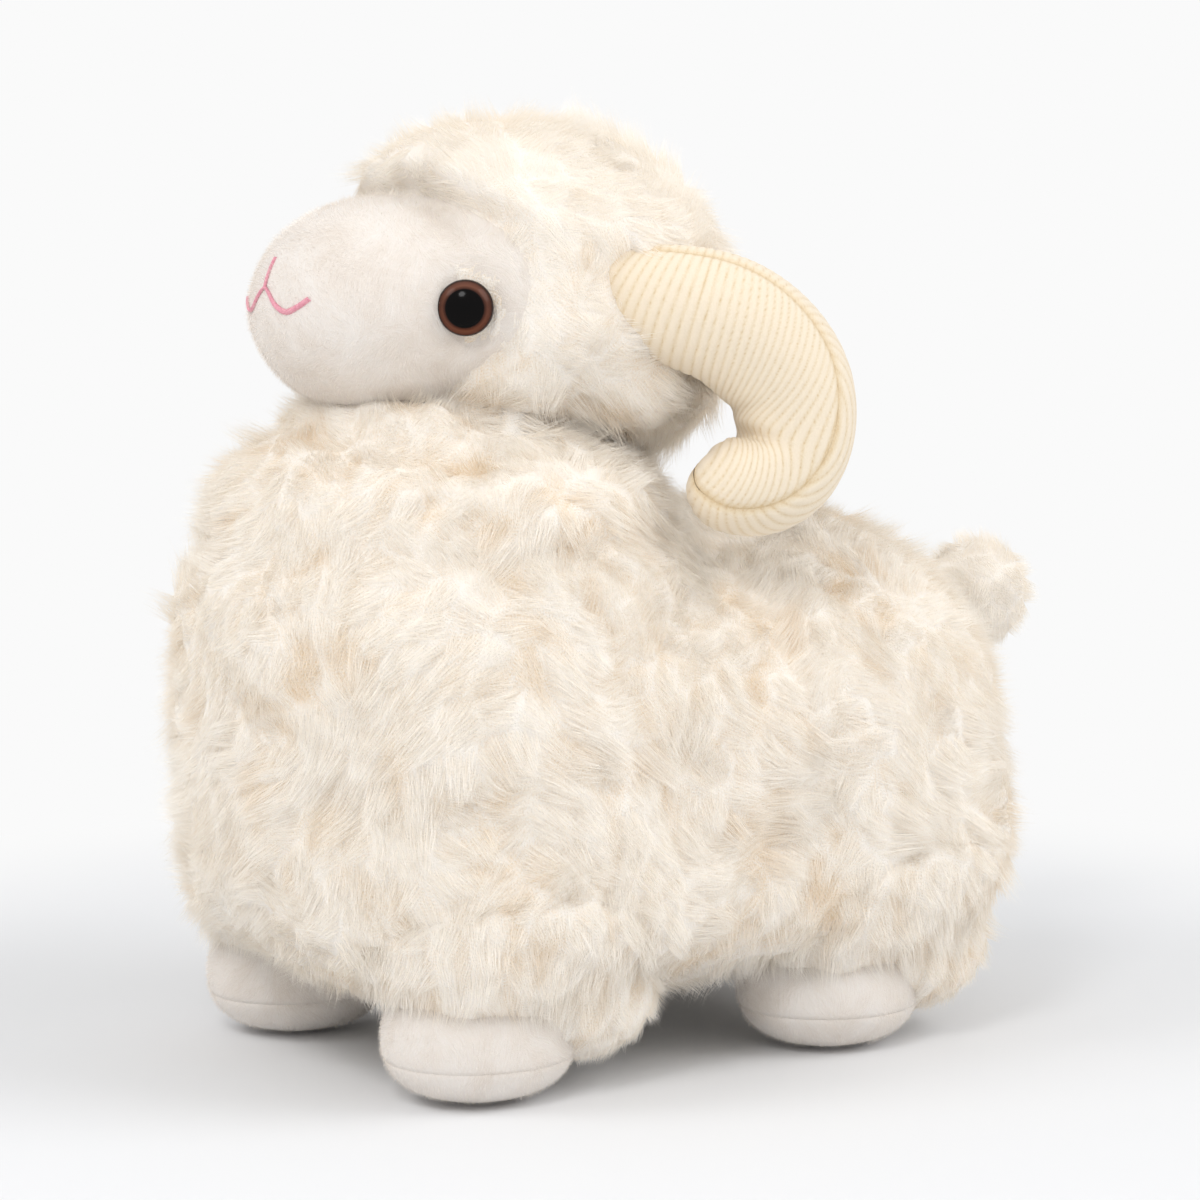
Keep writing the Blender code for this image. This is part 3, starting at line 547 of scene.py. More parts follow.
def short_pile_material():
    """Short velvety pile: no shine but a soft light rim, with patches where the nap lies another way."""
    material, tree, shader = new_material("short_pile_velboa", Roughness=0.95, Specular_IOR_Level=0.1,
                                          Sheen_Weight=0.3, Sheen_Roughness=0.5)
    place = output(add(tree, "ShaderNodeTexCoord"), "Object")
    tone_and_painted_shade = output(add(tree, "ShaderNodeAttribute", settings={"attribute_name": "tone_and_painted_shade"}), "Fac")
    fibres = brushed(tree, place, 0.35 * MM, 0.4 * MM)
    uneven = add(tree, "MULTIPLY", add(tree, "SUBTRACT", fibres, 0.5), 0.6)
    uneven = add(tree, "ADD", tone_and_painted_shade, uneven)
    tree.links.new(colour_ramp(tree, uneven, (0.1, "#E4DAD0"), (0.5, "#EBE3DB"), (0.9, "#EFE9E3")),
                   shader.inputs["Base Color"])
    bump = add(tree, "ShaderNodeBump", strength=0.5, distance=0.3 * MM, height=fibres)
    tree.links.new(bump, shader.inputs["Normal"])
    return material


def fuzz_material():
    """Tips of the short pile, a little lighter than its ground."""
    material, tree, shader = new_material("short_pile_tips", Roughness=0.9, Specular_IOR_Level=0.15)
    tone = output(add(tree, "ShaderNodeAttribute", settings={"attribute_name": "strand_tone"}), "Fac")
    tree.links.new(colour_ramp(tree, tone, (0.0, "#EFE6DC"), (1.0, "#F8F3ED")), shader.inputs["Base Color"])
    return material


def corduroy_material():
    """Fine wale cotton corduroy with painted shade: lighter on the tops of the ribs, deeper between them."""
    material, tree, shader = new_material("cotton_corduroy", Roughness=0.9, Specular_IOR_Level=0.15,
                                          Sheen_Weight=0.25, Sheen_Roughness=0.5)
    place = output(add(tree, "ShaderNodeTexCoord"), "Object")
    wale = output(add(tree, "ShaderNodeAttribute", settings={"attribute_name": "wale_height"}), "Fac")
    nap = add(tree, "ShaderNodeTexNoise", vector=place, scale=1.0 / (0.55 * MM), detail=3.0,
              roughness=0.7)
    uneven = add(tree, "ADD", wale, add(tree, "MULTIPLY", add(tree, "SUBTRACT", nap, 0.5), 0.9))
    # Painted shade: the grooves between the ribs are darker and the tops of the ribs lighter
    tree.links.new(colour_ramp(tree, uneven, (0.0, "#DAC097"), (0.4, "#E8D6B8"), (0.9, "#F0E2CC")),
                   shader.inputs["Base Color"])
    bump = add(tree, "ShaderNodeBump", strength=0.6, distance=0.3 * MM, height=nap)
    tree.links.new(bump, shader.inputs["Normal"])
    return material


def eye_material():
    """Acrylic safety eye: black pupil and brown ring painted under a clear polished dome, with painted light
    that makes the ring warmer at its bottom and lighter at its top.
    """
    material, tree, shader = new_material("painted_acrylic_eye", Roughness=0.12, IOR=1.49,
                                          Specular_IOR_Level=0.1)
    across = output(add(tree, "ShaderNodeAttribute", settings={"attribute_name": "eye_radius"}), "Fac")
    height = output(add(tree, "ShaderNodeAttribute", settings={"attribute_name": "eye_height"}), "Fac")
    rings = colour_ramp(tree, across, (0.0, "#050404"), (0.67, "#070505"), (0.70, "#4A3028"),
                        (0.80, "#7C5648"), (0.90, "#68463B"), (0.96, "#2A1813"))
    # Painted light: the ring is warmer and lighter towards its bottom, as if lit through the dome, and
    # lighter towards its top
    painted_dome_light = colour_ramp(tree, height, (0.05, "#E8C4AC"), (0.55, "#BCACA4"), (0.95, "#E8DAD2"))
    lit = add(tree, "multiplied", factor=1.0, a=rings, b=painted_dome_light)
    tree.links.new(lit, shader.inputs["Base Color"])
    return material


def thread_material():
    """Rayon embroidery thread: pink with a soft silky shine across the stitches."""
    material, tree, shader = new_material("rayon_thread", Roughness=0.45, Specular_IOR_Level=0.4)
    place = output(add(tree, "ShaderNodeTexCoord"), "Object")
    uneven = add(tree, "ShaderNodeTexNoise", vector=place, scale=1.0 / (0.6 * MM), detail=2.0)
    tree.links.new(colour_ramp(tree, uneven, (0.3, "#DF8DA1"), (0.7, "#F0B0BC")),
                   shader.inputs["Base Color"])
    return material


FLEECE_INPUTS = (
    ("Panel", "Int", 0),
    ("Seed", "Int", 1),
    ("Density", "Float", STRAND_DENSITY),
    ("Tuft Spacing", "Float", 6.0 * MM),
    ("Strand Length", "Float", 7.0 * MM),
    ("Strand Width", "Float", 0.12 * MM),
    ("Clumping", "Float", 0.35),
    ("Rise", "Float", 0.50),
    ("Lean", "Float", 0.80),
    ("Segments", "Int", 1),
    ("Fleece", "Material", None),
)


def fleece_tree():
    """Strands on a backing, each bent towards the tip of the tuft that it belongs to."""
    tree, given = new_tree("fleece_strands", "Strands", FLEECE_INPUTS)
    backing = given["Geometry"]
    place = add(tree, "GeometryNodeInputPosition")
    length = given["Strand Length"]

    # One point for each tuft, with the way it lies
    tufts = add(tree, "GeometryNodeDistributePointsOnFaces", settings={"distribute_method": "POISSON"},
                mesh=backing, distance_min=given["Tuft Spacing"], density_max=60000.0,
                seed=given["Seed"])
    tufts = add(tree, "keep vector", geometry=tufts, name="tuft_up", value=output(tufts, "Normal"))
    up = add(tree, "stored vector", "tuft_up")
    lie = add(tree, "moved", add(tree, "stored vector", "lie"),
              add(tree, "random vector", (-0.35,) * 3, (0.35,) * 3, seed=11))
    tufts = add(tree, "keep vector", geometry=tufts, name="tuft_lie",
                value=add(tree, "scaled", lie, given["Lean"]))
    tufts = add(tree, "keep", geometry=tufts, name="tuft_size",
                value=add(tree, "random", 0.7, 1.15, seed=12))
    tufts = add(tree, "keep vector", geometry=tufts, name="tuft_bend",
                value=add(tree, "random vector", (-0.30,) * 3, (0.30,) * 3, seed=13))

    # One point for each strand, which looks up its tuft
    panel = add(tree, "stored count", "panel")
    chosen = add(tree, "FunctionNodeCompare", settings={"data_type": "INT", "operation": "EQUAL"},
                 a=panel, b=given["Panel"])
    strands = add(tree, "GeometryNodeDistributePointsOnFaces", settings={"distribute_method": "RANDOM"},
                  mesh=backing, selection=chosen, seed=given["Seed"],
                  density=add(tree, "MULTIPLY", given["Density"], add(tree, "stored", "cover_share")))
    strands = add(tree, "keep vector", geometry=strands, name="strand_up",
                  value=output(strands, "Normal"))
    nearest = add(tree, "GeometryNodeSampleNearest", settings={"domain": "POINT"}, geometry=tufts,
                  sample_position=place)

    def from_tuft(value, data_type):
        return add(tree, "GeometryNodeSampleIndex", settings={"data_type": data_type, "domain": "POINT"},
                   geometry=tufts, value=value, index=nearest)

    middle = from_tuft(place, "FLOAT_VECTOR")
    tuft_up = from_tuft(up, "FLOAT_VECTOR")
    tuft_lie = from_tuft(add(tree, "stored vector", "tuft_lie"), "FLOAT_VECTOR")
    tuft_bend = from_tuft(add(tree, "stored vector", "tuft_bend"), "FLOAT_VECTOR")
    tuft_size = from_tuft(add(tree, "stored", "tuft_size"), "FLOAT")
    own_up = add(tree, "stored vector", "strand_up")
    long = add(tree, "MULTIPLY", length, tuft_size)
    long = add(tree, "MULTIPLY", long, add(tree, "stored", "length_share"))
    long = add(tree, "MULTIPLY", long, add(tree, "random", 0.72, 1.06, seed=21))
    knee = add(tree, "moved", add(tree, "scaled", own_up, 0.55),
               add(tree, "random vector", (-0.12,) * 3, (0.12,) * 3, seed=22))
    knee = add(tree, "moved", place, add(tree, "scaled", add(tree, "moved", knee, tuft_bend), long))
    spine = add(tree, "moved", add(tree, "scaled", tuft_up, given["Rise"]), tuft_lie)
    spine = add(tree, "moved", spine, add(tree, "random vector", (-0.10,) * 3, (0.10,) * 3, seed=23))
    loose = add(tree, "MULTIPLY", add(tree, "POWER", add(tree, "random", 0.0, 1.0, seed=26), 3.0), 0.6)
    spine = add(tree, "moved", spine, add(tree, "scaled", own_up, loose))
    own_tip = add(tree, "moved", place, add(tree, "scaled", spine, long))
    tuft_tip = add(tree, "moved", middle, add(tree, "scaled", spine, long))
    tip = add(tree, "ShaderNodeMix", settings={"data_type": "VECTOR"}, factor=given["Clumping"], a=own_tip,
              b=tuft_tip)
    run = add(tree, "less", tip, place)
    aside = add(tree, "moved", own_up, add(tree, "random vector", (-0.35,) * 3, (0.35,) * 3, seed=24))
    across = add(tree, "cross", run, aside)
    across = add(tree, "unit", across)
    over = add(tree, "unit", add(tree, "cross", run, across))
    for name, value in (("root", place), ("knee", knee), ("tip", tip), ("across", across), ("over", over)):
        strands = add(tree, "keep vector", geometry=strands, name=f"strand_{name}", value=value)
    strands = add(tree, "keep", geometry=strands, name="strand_tone",
                  value=add(tree, "random", 0.0, 1.0, seed=25))
    strands = add(tree, "keep", geometry=strands, name="strand_tone_and_painted_shade",
                  value=add(tree, "stored", "tone_and_painted_shade"))

    # The plain strand is a three sided spike, bent along its own line
    spike = add(tree, "GeometryNodeMeshCone", settings={"fill_type": "NGON"}, vertices=3,
                side_segments=given["Segments"], radius_top=0.0, radius_bottom=1.0, depth=1.0)
    parts = add(tree, "ShaderNodeSeparateXYZ", vector=place)
    spike = add(tree, "keep", geometry=spike, name="strand_height", value=output(parts, "Z"))
    spike = add(tree, "keep vector", geometry=spike, name="strand_side", value=place)
    placed = add(tree, "GeometryNodeInstanceOnPoints", points=strands, instance=spike)
    whole = add(tree, "GeometryNodeRealizeInstances", geometry=placed)
    height = add(tree, "stored", "strand_height")
    rest = add(tree, "SUBTRACT", 1.0, height)
    path = add(tree, "scaled", add(tree, "stored vector", "strand_root"), add(tree, "MULTIPLY", rest, rest))
    middle_share = add(tree, "MULTIPLY", add(tree, "MULTIPLY", rest, height), 2.0)
    bow = add(tree, "scaled", add(tree, "stored vector", "strand_knee"), middle_share)
    path = add(tree, "moved", path, bow)
    end = add(tree, "scaled", add(tree, "stored vector", "strand_tip"), add(tree, "MULTIPLY", height, height))
    path = add(tree, "moved", path, end)
    side = add(tree, "ShaderNodeSeparateXYZ", vector=add(tree, "stored vector", "strand_side"))
    # The spike thins evenly, and this fills it out to a strand that thins late
    fullness = add(tree, "POWER", add(tree, "MAXIMUM", rest, 0.001), -0.55)
    thick = add(tree, "MULTIPLY", add(tree, "MULTIPLY", given["Strand Width"], 0.5), fullness)
    # Turned so that a flat side faces out
    swell = add(tree, "less",
                add(tree, "scaled", add(tree, "stored vector", "strand_over"),
                    add(tree, "MULTIPLY", side, thick)),
                add(tree, "scaled", add(tree, "stored vector", "strand_across"),
                    add(tree, "MULTIPLY", output(side, "Y"), thick)))
    bent = add(tree, "GeometryNodeSetPosition", geometry=whole,
               position=add(tree, "moved", path, swell))
    end_tree(tree, bent, given["Fleece"])
    return tree


RELIEF_INPUTS = (
    ("Tuft Size", "Float", 15.0 * MM),
    ("Tuft Height", "Float", 3.2 * MM),
    ("Drift", "Float", 20.0 * MM),
    ("Brush Size", "Float", 5.5 * MM),
    ("Brush Step", "Float", 2.6 * MM),
    ("Patch Size", "Float", 24.0 * MM),
    ("Lump Size", "Float", 34.0 * MM),
    ("Lump Height", "Float", 5.0 * MM),
    ("Flow Size", "Float", 30.0 * MM),
    ("Droop", "Float", 0.3),
    ("Backing", "Material", None),
)


def relief_tree():
    """Push a surface out into brushed tufts and wider lumps, and store the way that its pile lies and its
    tone, which holds painted shade in the hollows between tufts.
    """
    tree, given = new_tree("pile_relief", "Surface", RELIEF_INPUTS)
    place = add(tree, "GeometryNodeInputPosition")
    up = add(tree, "GeometryNodeInputNormal")

    def noise(vector, size, detail):
        return add(tree, "ShaderNodeTexNoise", vector=vector, detail=detail,
                   scale=add(tree, "DIVIDE", 1.0, given[size]))

    def centred(noise_node):
        return add(tree, "less", output(noise_node, "Color"), (0.5, 0.5, 0.5))

    # The pile lies along a swirling field that hangs down a little
    fall = add(tree, "ShaderNodeCombineXYZ", z=add(tree, "MULTIPLY", given["Droop"], -1.0))
    lie = add(tree, "moved", add(tree, "scaled", centred(noise(place, "Flow Size", 1.5)), 5.0), fall)
    lie = add(tree, "less", lie, add(tree, "scaled", up, add(tree, "dot", lie, up)))
    lie = add(tree, "unit", lie)

    # Brush strokes are noise smeared along that field
    total = None
    for i in (-2, -1, 0, 1, 2):
        step = add(tree, "MULTIPLY", given["Brush Step"], i)
        there = add(tree, "moved", place, add(tree, "scaled", lie, step))
        tone = noise(there, "Brush Size", 1.0)
        total = tone if total is None else add(tree, "ADD", total, tone)
    strokes = add(tree, "ShaderNodeMapRange", settings={"interpolation_type": "SMOOTHSTEP"},
                  value=total, from_min=1.8, from_max=3.2)

    drift = add(tree, "scaled", centred(noise(place, "Tuft Size", 1.0)), given["Drift"])
    drifted = add(tree, "moved", place, drift)
    cells = add(tree, "ShaderNodeTexVoronoi", settings={"feature": "SMOOTH_F1"}, vector=drifted,
                scale=add(tree, "DIVIDE", 1.0, given["Tuft Size"]), smoothness=0.4, randomness=1.0)
    dome = add(tree, "SUBTRACT", 1.0, add(tree, "POWER", cells, 1.6))
    relief = add(tree, "ADD", add(tree, "MULTIPLY", strokes, 0.5),
                 add(tree, "MULTIPLY", dome, 0.5))
    lump = add(tree, "SUBTRACT", noise(place, "Lump Size", 1.0), 0.5)
    shift = add(tree, "MULTIPLY", add(tree, "SUBTRACT", relief, 0.6), given["Tuft Height"])
    shift = add(tree, "ADD", shift, add(tree, "MULTIPLY", lump, given["Lump Height"]))
    shift = add(tree, "MULTIPLY", shift, add(tree, "stored", "relief_share"))
    # The tone is paler on the tufts and darker in the hollows between them, a painted shade, with random
    # patches; the stored painted light and shade value then darkens it, or makes it paler where it is
    # negative
    patch = add(tree, "ShaderNodeMapRange", value=noise(place, "Patch Size", 2.0),
                from_min=0.3, from_max=0.6)
    tone_and_painted_shade = add(tree, "ADD", add(tree, "MULTIPLY", relief, 0.9),
                   add(tree, "MULTIPLY", patch, 0.16))
    painted_light_and_shade = add(tree, "ADD", add(tree, "stored", "painted_light_and_shade"), 0.08)
    tone_and_painted_shade = add(tree, "SUBTRACT", tone_and_painted_shade, painted_light_and_shade)
    raised = add(tree, "keep", geometry=given["Geometry"], name="tone_and_painted_shade", value=tone_and_painted_shade)
    raised = add(tree, "keep vector", geometry=raised, name="lie", value=lie)
    raised = add(tree, "GeometryNodeSetPosition", geometry=raised, offset=add(tree, "scaled", up, shift))
    end_tree(tree, raised, given["Backing"])
    return tree


def corduroy_tree():
    """Raise ribs across a panel, along lines where the stored cloth coordinate is the same."""
    inputs = (("Rib Spacing", "Float", RIB_SPACING), ("Rib Depth", "Float", RIB_DEPTH),
              ("Corduroy", "Material", None))
    tree, given = new_tree("corduroy_ribs", "Panel", inputs)
    turns = add(tree, "DIVIDE", add(tree, "stored", "wale"), given["Rib Spacing"])
    wave = add(tree, "ABSOLUTE", add(tree, "SINE", add(tree, "MULTIPLY", turns, math.pi)))
    height = add(tree, "MULTIPLY", add(tree, "POWER", wave, 0.5), add(tree, "stored", "ribbed_share"))
    shift = add(tree, "MULTIPLY", add(tree, "SUBTRACT", height, 1.0), given["Rib Depth"])
    ribbed = add(tree, "keep", geometry=given["Geometry"], name="wale_height", value=height)
    ribbed = add(tree, "GeometryNodeSetPosition", geometry=ribbed,
                 offset=add(tree, "scaled", add(tree, "GeometryNodeInputNormal"), shift))
    end_tree(tree, ribbed, given["Corduroy"])
    return tree


def add_fuzz(piece, name, body, nodes, cover, length_share=1.0):
    """Upright tips of short pile where a piece that has its relief lies in the open."""
    store_cover(piece, cover, length_share)
    values = {"Density": FUZZ_DENSITY, "Tuft Spacing": 3.0 * MM, "Strand Length": 1.5 * MM, "Clumping": 0.0,
              "Strand Width": 0.08 * MM, "Rise": 0.7, "Lean": 0.6, "Fleece": FUZZ}
    tips = run_tree(piece, FLEECE_TREE, name, values, STRAND_VALUES, False)
    finish_piece(tips, body, nodes)


def fleece_panels(backing, forms, tree, material, values):
    """Grow the fleece of a backing, one piece for each (name, body, nodes) row in the order of its panels."""
    for index, (name, body, nodes) in enumerate(forms):
        piece = run_tree(backing, tree, name, {"Panel": index, "Fleece": material, **values},
                         STRAND_VALUES, False)
        finish_piece(piece, body, nodes)


def place_forms():
    """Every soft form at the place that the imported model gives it."""
    feet = {}
    for name in CORNERS:
        low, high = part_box(f"{name}_sole")
        middle = (low + high) / 2
        feet[name] = Form((middle.x, middle.y, FOOT_SIZE[2] / 2 - FOOT_FLAT), FOOT_SIZE, ROUND_LOBE_SHARES)
    body_y = feet["front_left"].place[1] + FRONT_FOOT_FORWARD
    forms = {"body": Form((0.0, body_y, BELLY_CLEARANCE + BODY_SIZE[2] / 2), BODY_SIZE, BODY_LOBE_SHARES)}
    hood = (0.0, body_y - HEAD_FORWARD, BELLY_CLEARANCE + BODY_SIZE[2] - HEAD_SEAT + HOOD_SIZE[2] / 2)
    forms["hood"] = Form(hood, HOOD_SIZE, HOOD_LOBE_SHARES + CHIN_PILE_SHARES)
    forms["face"] = Form((0.0, hood[1] - FACE_FORWARD, hood[2] - FACE_DROP), FACE_SIZE, FACE_LOBE_SHARES)
    low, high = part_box("tail_fleece")
    tail_size = (TAIL_DIAMETER, TAIL_DIAMETER, TAIL_DIAMETER)
    forms["tail"] = Form((0.0, high.y - TAIL_DIAMETER / 2, (low.z + high.z) / 2), tail_size,
                         TAIL_LOBE_SHARES)
    for name, foot in feet.items():
        forms[f"{name}_foot"] = foot
        leg = (foot.place[0], foot.place[1] + LEG_SETBACK, LEG_FLOOR_GAP + LEG_SIZE[2] / 2)
        forms[f"{name}_leg"] = Form(leg, LEG_SIZE, LEG_LOBE_SHARES + CUFF_PILE_SHARES)
    return forms


def add_relief(obj, material, share=1.0, painted_light_and_shade=0.0, **values):
    """Swap an object for the same one with its pile relief, shallower where share is less than 1, with
    painted shade in its colour where the painted light and shade value is positive and painted light where it
    is negative.
    """
    name = obj.name
    count = len(obj.data.vertices)
    store(obj, "relief_share", np.broadcast_to(share, count))
    store(obj, "painted_light_and_shade", np.broadcast_to(painted_light_and_shade, count))
    obj.name = f"{name}_plain"
    made = run_tree(obj, RELIEF_TREE, name, {"Backing": material, **values}, ("tone_and_painted_shade", "lie"))
    bpy.data.objects.remove(obj)
    return made


def open_share(points, forms, hidden):
    """1 where points lie in the open, falling to 0 where they lie deep inside other forms."""
    share = np.ones(len(points))
    for name, depth in hidden:
        share *= 1.0 - ease(forms[name].cover(points, depth), *HIDDEN_DEPTHS)
    return share


def line_distance(points, line):
    """Distance of each point from a line of straight stretches."""
    best = np.full(len(points), 1.0)
    for start, end in zip(line[:-1], line[1:]):
        start, run = np.array(start), np.array(end) - np.array(start)
        along = np.clip((points - start) @ run / max(run @ run, 1e-12), 0.0, 1.0)
        best = np.minimum(best, np.linalg.norm(points - start - along[:, None] * run, axis=1))
    return best


def filleted(points, form, forms, others):
    """Points of one form swelled where another comes close, so that the two run together softly.

    It fades out towards the floor, where the belly stays clear of the legs.
    """
    away = unit(points - form.place)
    swelled = points.copy()
    for name, reach in others:
        share = np.clip(1.0 - np.abs(forms[name].cover(points)) / reach, 0.0, 1.0)
        share *= ease(points[:, 2], *FILLET_HEIGHTS)
        swelled += away * (share ** 2 * reach / 4)[:, None]
    return swelled


def calm_share(points, form):
    """Less relief towards the back and the rump, where the pile lies smoother."""
    away = points - form.place
    return 1.0 - 0.45 * ease(away[:, 1], 20.0 * MM, 90.0 * MM) * ease(away[:, 2], -30.0 * MM, 30.0 * MM)


def make_body(forms, tree, fleece, backing):
    directions, faces = ball(BODY_DETAIL)
    points = forms["body"].surface(directions, BODY_FLEECE_DEPTH)
    folded = np.abs(points * (1.0, 0.0, 0.0)) + points * (0.0, 1.0, 1.0)
    fold = np.exp(-(line_distance(folded, CHIN_FOLD) / FOLD_WIDTH) ** 2)
    dimple = np.exp(-(line_distance(folded, DIMPLE) / DIMPLE_WIDTH) ** 2)
    inward = unit(forms["body"].place - points)
    slim = SHOULDER_INSET * ease(points[:, 2], *SHOULDER_HEIGHTS)
    slim = slim * (1.0 - ease(points[:, 1], *SHOULDER_PLACES))
    others = [(f"{name}_leg", LEG_FILLET) for name in CORNERS] + [("tail", TAIL_FILLET)]
    points = filleted(points, forms["body"], forms, others)
    points += inward * (fold * FOLD_DEPTH + dimple * DIMPLE_DEPTH + slim)[:, None]
    points[:, 2] += CHIN_SWELL_RISE * np.exp(-(line_distance(folded, CHIN_SWELL) / CHIN_SWELL_WIDTH) ** 2)
    points[:, 2] -= BELLY_SAG * (1.0 - ease(points[:, 2], *BELLY_HEIGHTS))
    body = solid("body_backing", points, faces, backing)
    # Painted shade darkens the backing's colour in the fold below the chin and in the dimples on the haunches
    body = add_relief(body, backing, calm_share(points, forms["body"]), 0.25 * fold + 0.9 * dimple)
    points = points_of(body)
    hidden = [("hood", HOOD_FLEECE_DEPTH), ("tail", TAIL_FLEECE_DEPTH)]
    hidden += [(f"{name}_leg", LEG_FLEECE_DEPTH) for name in CORNERS]
    share = open_share(points, forms, hidden)
    under = 1.0 - ease(points[:, 2], 24.0 * MM, 50.0 * MM)
    seams = np.zeros(len(points))
    for name, depth in hidden[2:]:
        seams = np.maximum(seams, np.exp(-(forms[name].cover(points, depth) / (5.0 * MM)) ** 2))
    store(body, "cover_share", share * (1.0 - 0.35 * under) * (1.0 + 0.6 * seams))
    store(body, "length_share", 1.0 - 0.15 * under + 0.35 * seams)
    middles = face_middles(body)
    rows = []
    panel = np.zeros(len(middles))
    for side_name, side in SIDES:
        for i, (low, high) in enumerate(BODY_CUTS):
            chosen = (middles[:, 0] * side >= 0.0) & (middles[:, 1] >= low) & (middles[:, 1] < high)
            panel[chosen] = len(rows)
            rows.append((f"body_fleece_{side_name}_{i + 1}", "sheep", [f"body_fleece_{side_name}"]))
    store(body, "panel", panel, "INT", "FACE")
    fleece_panels(body, rows, tree, fleece, {"Seed": 3})
    covers = ["belly_fleece", "body_fleece_left", "body_fleece_right"]
    finish_piece(body, "sheep", ["body_stuffing", *covers])


def make_hood(forms, tree, fleece, backing):
    hood_form = forms["hood"]
    directions, faces = ball(HOOD_DETAIL)
    points = hood_form.surface(directions, HOOD_FLEECE_DEPTH)
    away = points - hood_form.place
    height = np.where(away[:, 2] > 0.0, FACE_OPENING_RISE, FACE_OPENING_FALL)
    inside = (away[:, 0] / (FACE_OPENING_WIDTH / 2)) ** 2 + (away[:, 2] / height) ** 2
    dips = (1.0 - ease(inside, 0.85, 1.12)) * (away[:, 1] < 0.0)
    sunk = np.ones(len(points))
    for step in np.linspace(0.30, 1.0, 60):
        inner = forms["face"].cover(hood_form.place + away * step) > 1.0 * MM
        sunk[inner] = step
    for side_name, side in SIDES:
        for *place, rise, width in HOOD_SWELLS:
            swell = hood_form.place + np.array(place) * (side * MM, MM, MM)
            near = np.exp(-(np.linalg.norm(points - swell, axis=1) / (width * MM)) ** 2)
            points += unit(away) * (near * rise * MM)[:, None]
    points -= away * (dips * (1.0 - sunk))[:, None]
    edge = ease(inside, 1.0, 1.5) * (away[:, 1] < 0.0) + (away[:, 1] >= 0.0)
    calm = 1.0 - 0.5 * ease(away[:, 2], 5.0 * MM, 35.0 * MM)
    # Painted light: the hood's backing is painted paler towards its top
    hood = add_relief(solid("hood_backing", points, faces, backing), backing, (0.3 + 0.7 * edge) * calm,
                      -0.25 * ease(away[:, 2], 5.0 * MM, 35.0 * MM))
    points = points_of(hood)
    share = open_share(points, forms, [("body", BODY_FLEECE_DEPTH)])
    share *= 1.0 - ease(forms["face"].cover(points, SHORT_PILE_DEPTH), -1.0 * MM, 1.0 * MM)
    near = ease(-forms["face"].cover(points), 0.0, 16.0 * MM)
    middles = face_middles(hood)
    panel = (middles[:, 0] < 0.0) * 2 + (middles[:, 1] > hood_form.place[1]) * 1
    store_cover(hood, share, 0.6 + 0.4 * near, panel)
    rows = [(f"hood_fleece_{side_name}_{part}", "sheep", [f"hood_fleece_{side_name}"])
            for side_name, side in SIDES for part in ("front", "back")]
    fleece_panels(hood, rows, tree, fleece, {"Seed": 5})
    finish_piece(hood, "sheep", ["head_stuffing", "hood_fleece_left", "hood_fleece_right"])


def make_legs(forms, tree, fleece, backing, short_pile):
    for name in CORNERS:
        form = forms[f"{name}_leg"]
        directions, faces = ball(LEG_DETAIL)
        points = filleted(form.surface(directions, LEG_FLEECE_DEPTH), form, forms, [("body", LEG_FILLET)])
        points[:, 2] = np.maximum(points[:, 2], 2.5 * MM)
        leg = add_relief(solid(f"{name}_leg_backing", points, faces, backing), backing, 0.8, Droop=2.2)
        points = points_of(leg)
        share = open_share(points, forms, [("body", BODY_FLEECE_DEPTH)])
        share *= 1.0 - ease(forms[f"{name}_foot"].cover(points, SHORT_PILE_DEPTH), -1.0 * MM, 1.0 * MM)
        low = 1.0 - ease(points[:, 2], 8.0 * MM, 30.0 * MM)
        store_cover(leg, share, 0.9 - 0.5 * low)
        row = (f"{name}_leg_fleece_strands", "sheep", [f"{name}_leg_fleece"])
        fleece_panels(leg, [row], tree, fleece, {"Seed": 7})
        finish_piece(leg, "sheep", [f"{name}_leg_stuffing", f"{name}_leg_fleece"])
        make_foot(name, forms, short_pile)


def make_foot(name, forms, short_pile):
    """Foot cover above the seam and sole below it, each turning in a little at the seam."""
    form = forms[f"{name}_foot"]
    segments, rings = FOOT_DETAIL
    top = form.place[2] + FOOT_SIZE[2] / 2 - SHORT_PILE_DEPTH
    steps = np.linspace(0.0, 1.0, rings + 1)
    heights = {"foot_cover": SOLE_HEIGHT + (top - SOLE_HEIGHT) * np.sin(steps * math.pi / 2),
               "sole": SOLE_HEIGHT * (1.0 - (1.0 - steps) ** 2)}
    turn = np.linspace(0.0, 2 * math.pi, segments, endpoint=False)
    for part, levels in heights.items():
        levels = np.array(levels)
        share = np.abs(levels - form.place[2]) / (FOOT_SIZE[2] / 2 - SHORT_PILE_DEPTH)
        girth = (1.0 - np.minimum(share, 0.9995) ** FOOT_SQUARENESS) ** (1.0 / FOOT_SQUARENESS)
        beside = np.minimum(np.abs(levels - SOLE_HEIGHT) / FOOT_SEAM_WIDTH, 1.0)
        girth -= FOOT_SEAM_SHARE * (1.0 - beside) ** 2
        points = []
        for level, wide in zip(levels, girth):
            for angle in turn:
                x = form.place[0] + wide * (FOOT_SIZE[0] / 2 - SHORT_PILE_DEPTH) * math.cos(angle)
                y = form.place[1] + wide * (FOOT_SIZE[1] / 2 - SHORT_PILE_DEPTH) * math.sin(angle)
                points.append((x, y, level))
        points += [(form.place[0], form.place[1], levels[0]), (form.place[0], form.place[1], levels[-1])]
        faces = stacked(rings + 1, segments)
        piece = solid(f"{name}_{part}_pile", points, faces, short_pile)
        piece = add_relief(piece, short_pile, 0.0, **{"Flow Size": 20.0 * MM, "Droop": 1.0})
        spots = points_of(piece)
        cover = open_share(spots, forms, [(f"{name}_leg", LEG_FLEECE_DEPTH)])
        cover = cover * ease(spots[:, 2], 1.0 * MM, 3.0 * MM)
        add_fuzz(piece, f"{name}_{part}_tips", "sheep", [f"{name}_{part}"], cover, 0.8)
        finish_piece(piece, "sheep", [f"{name}_{part}"])


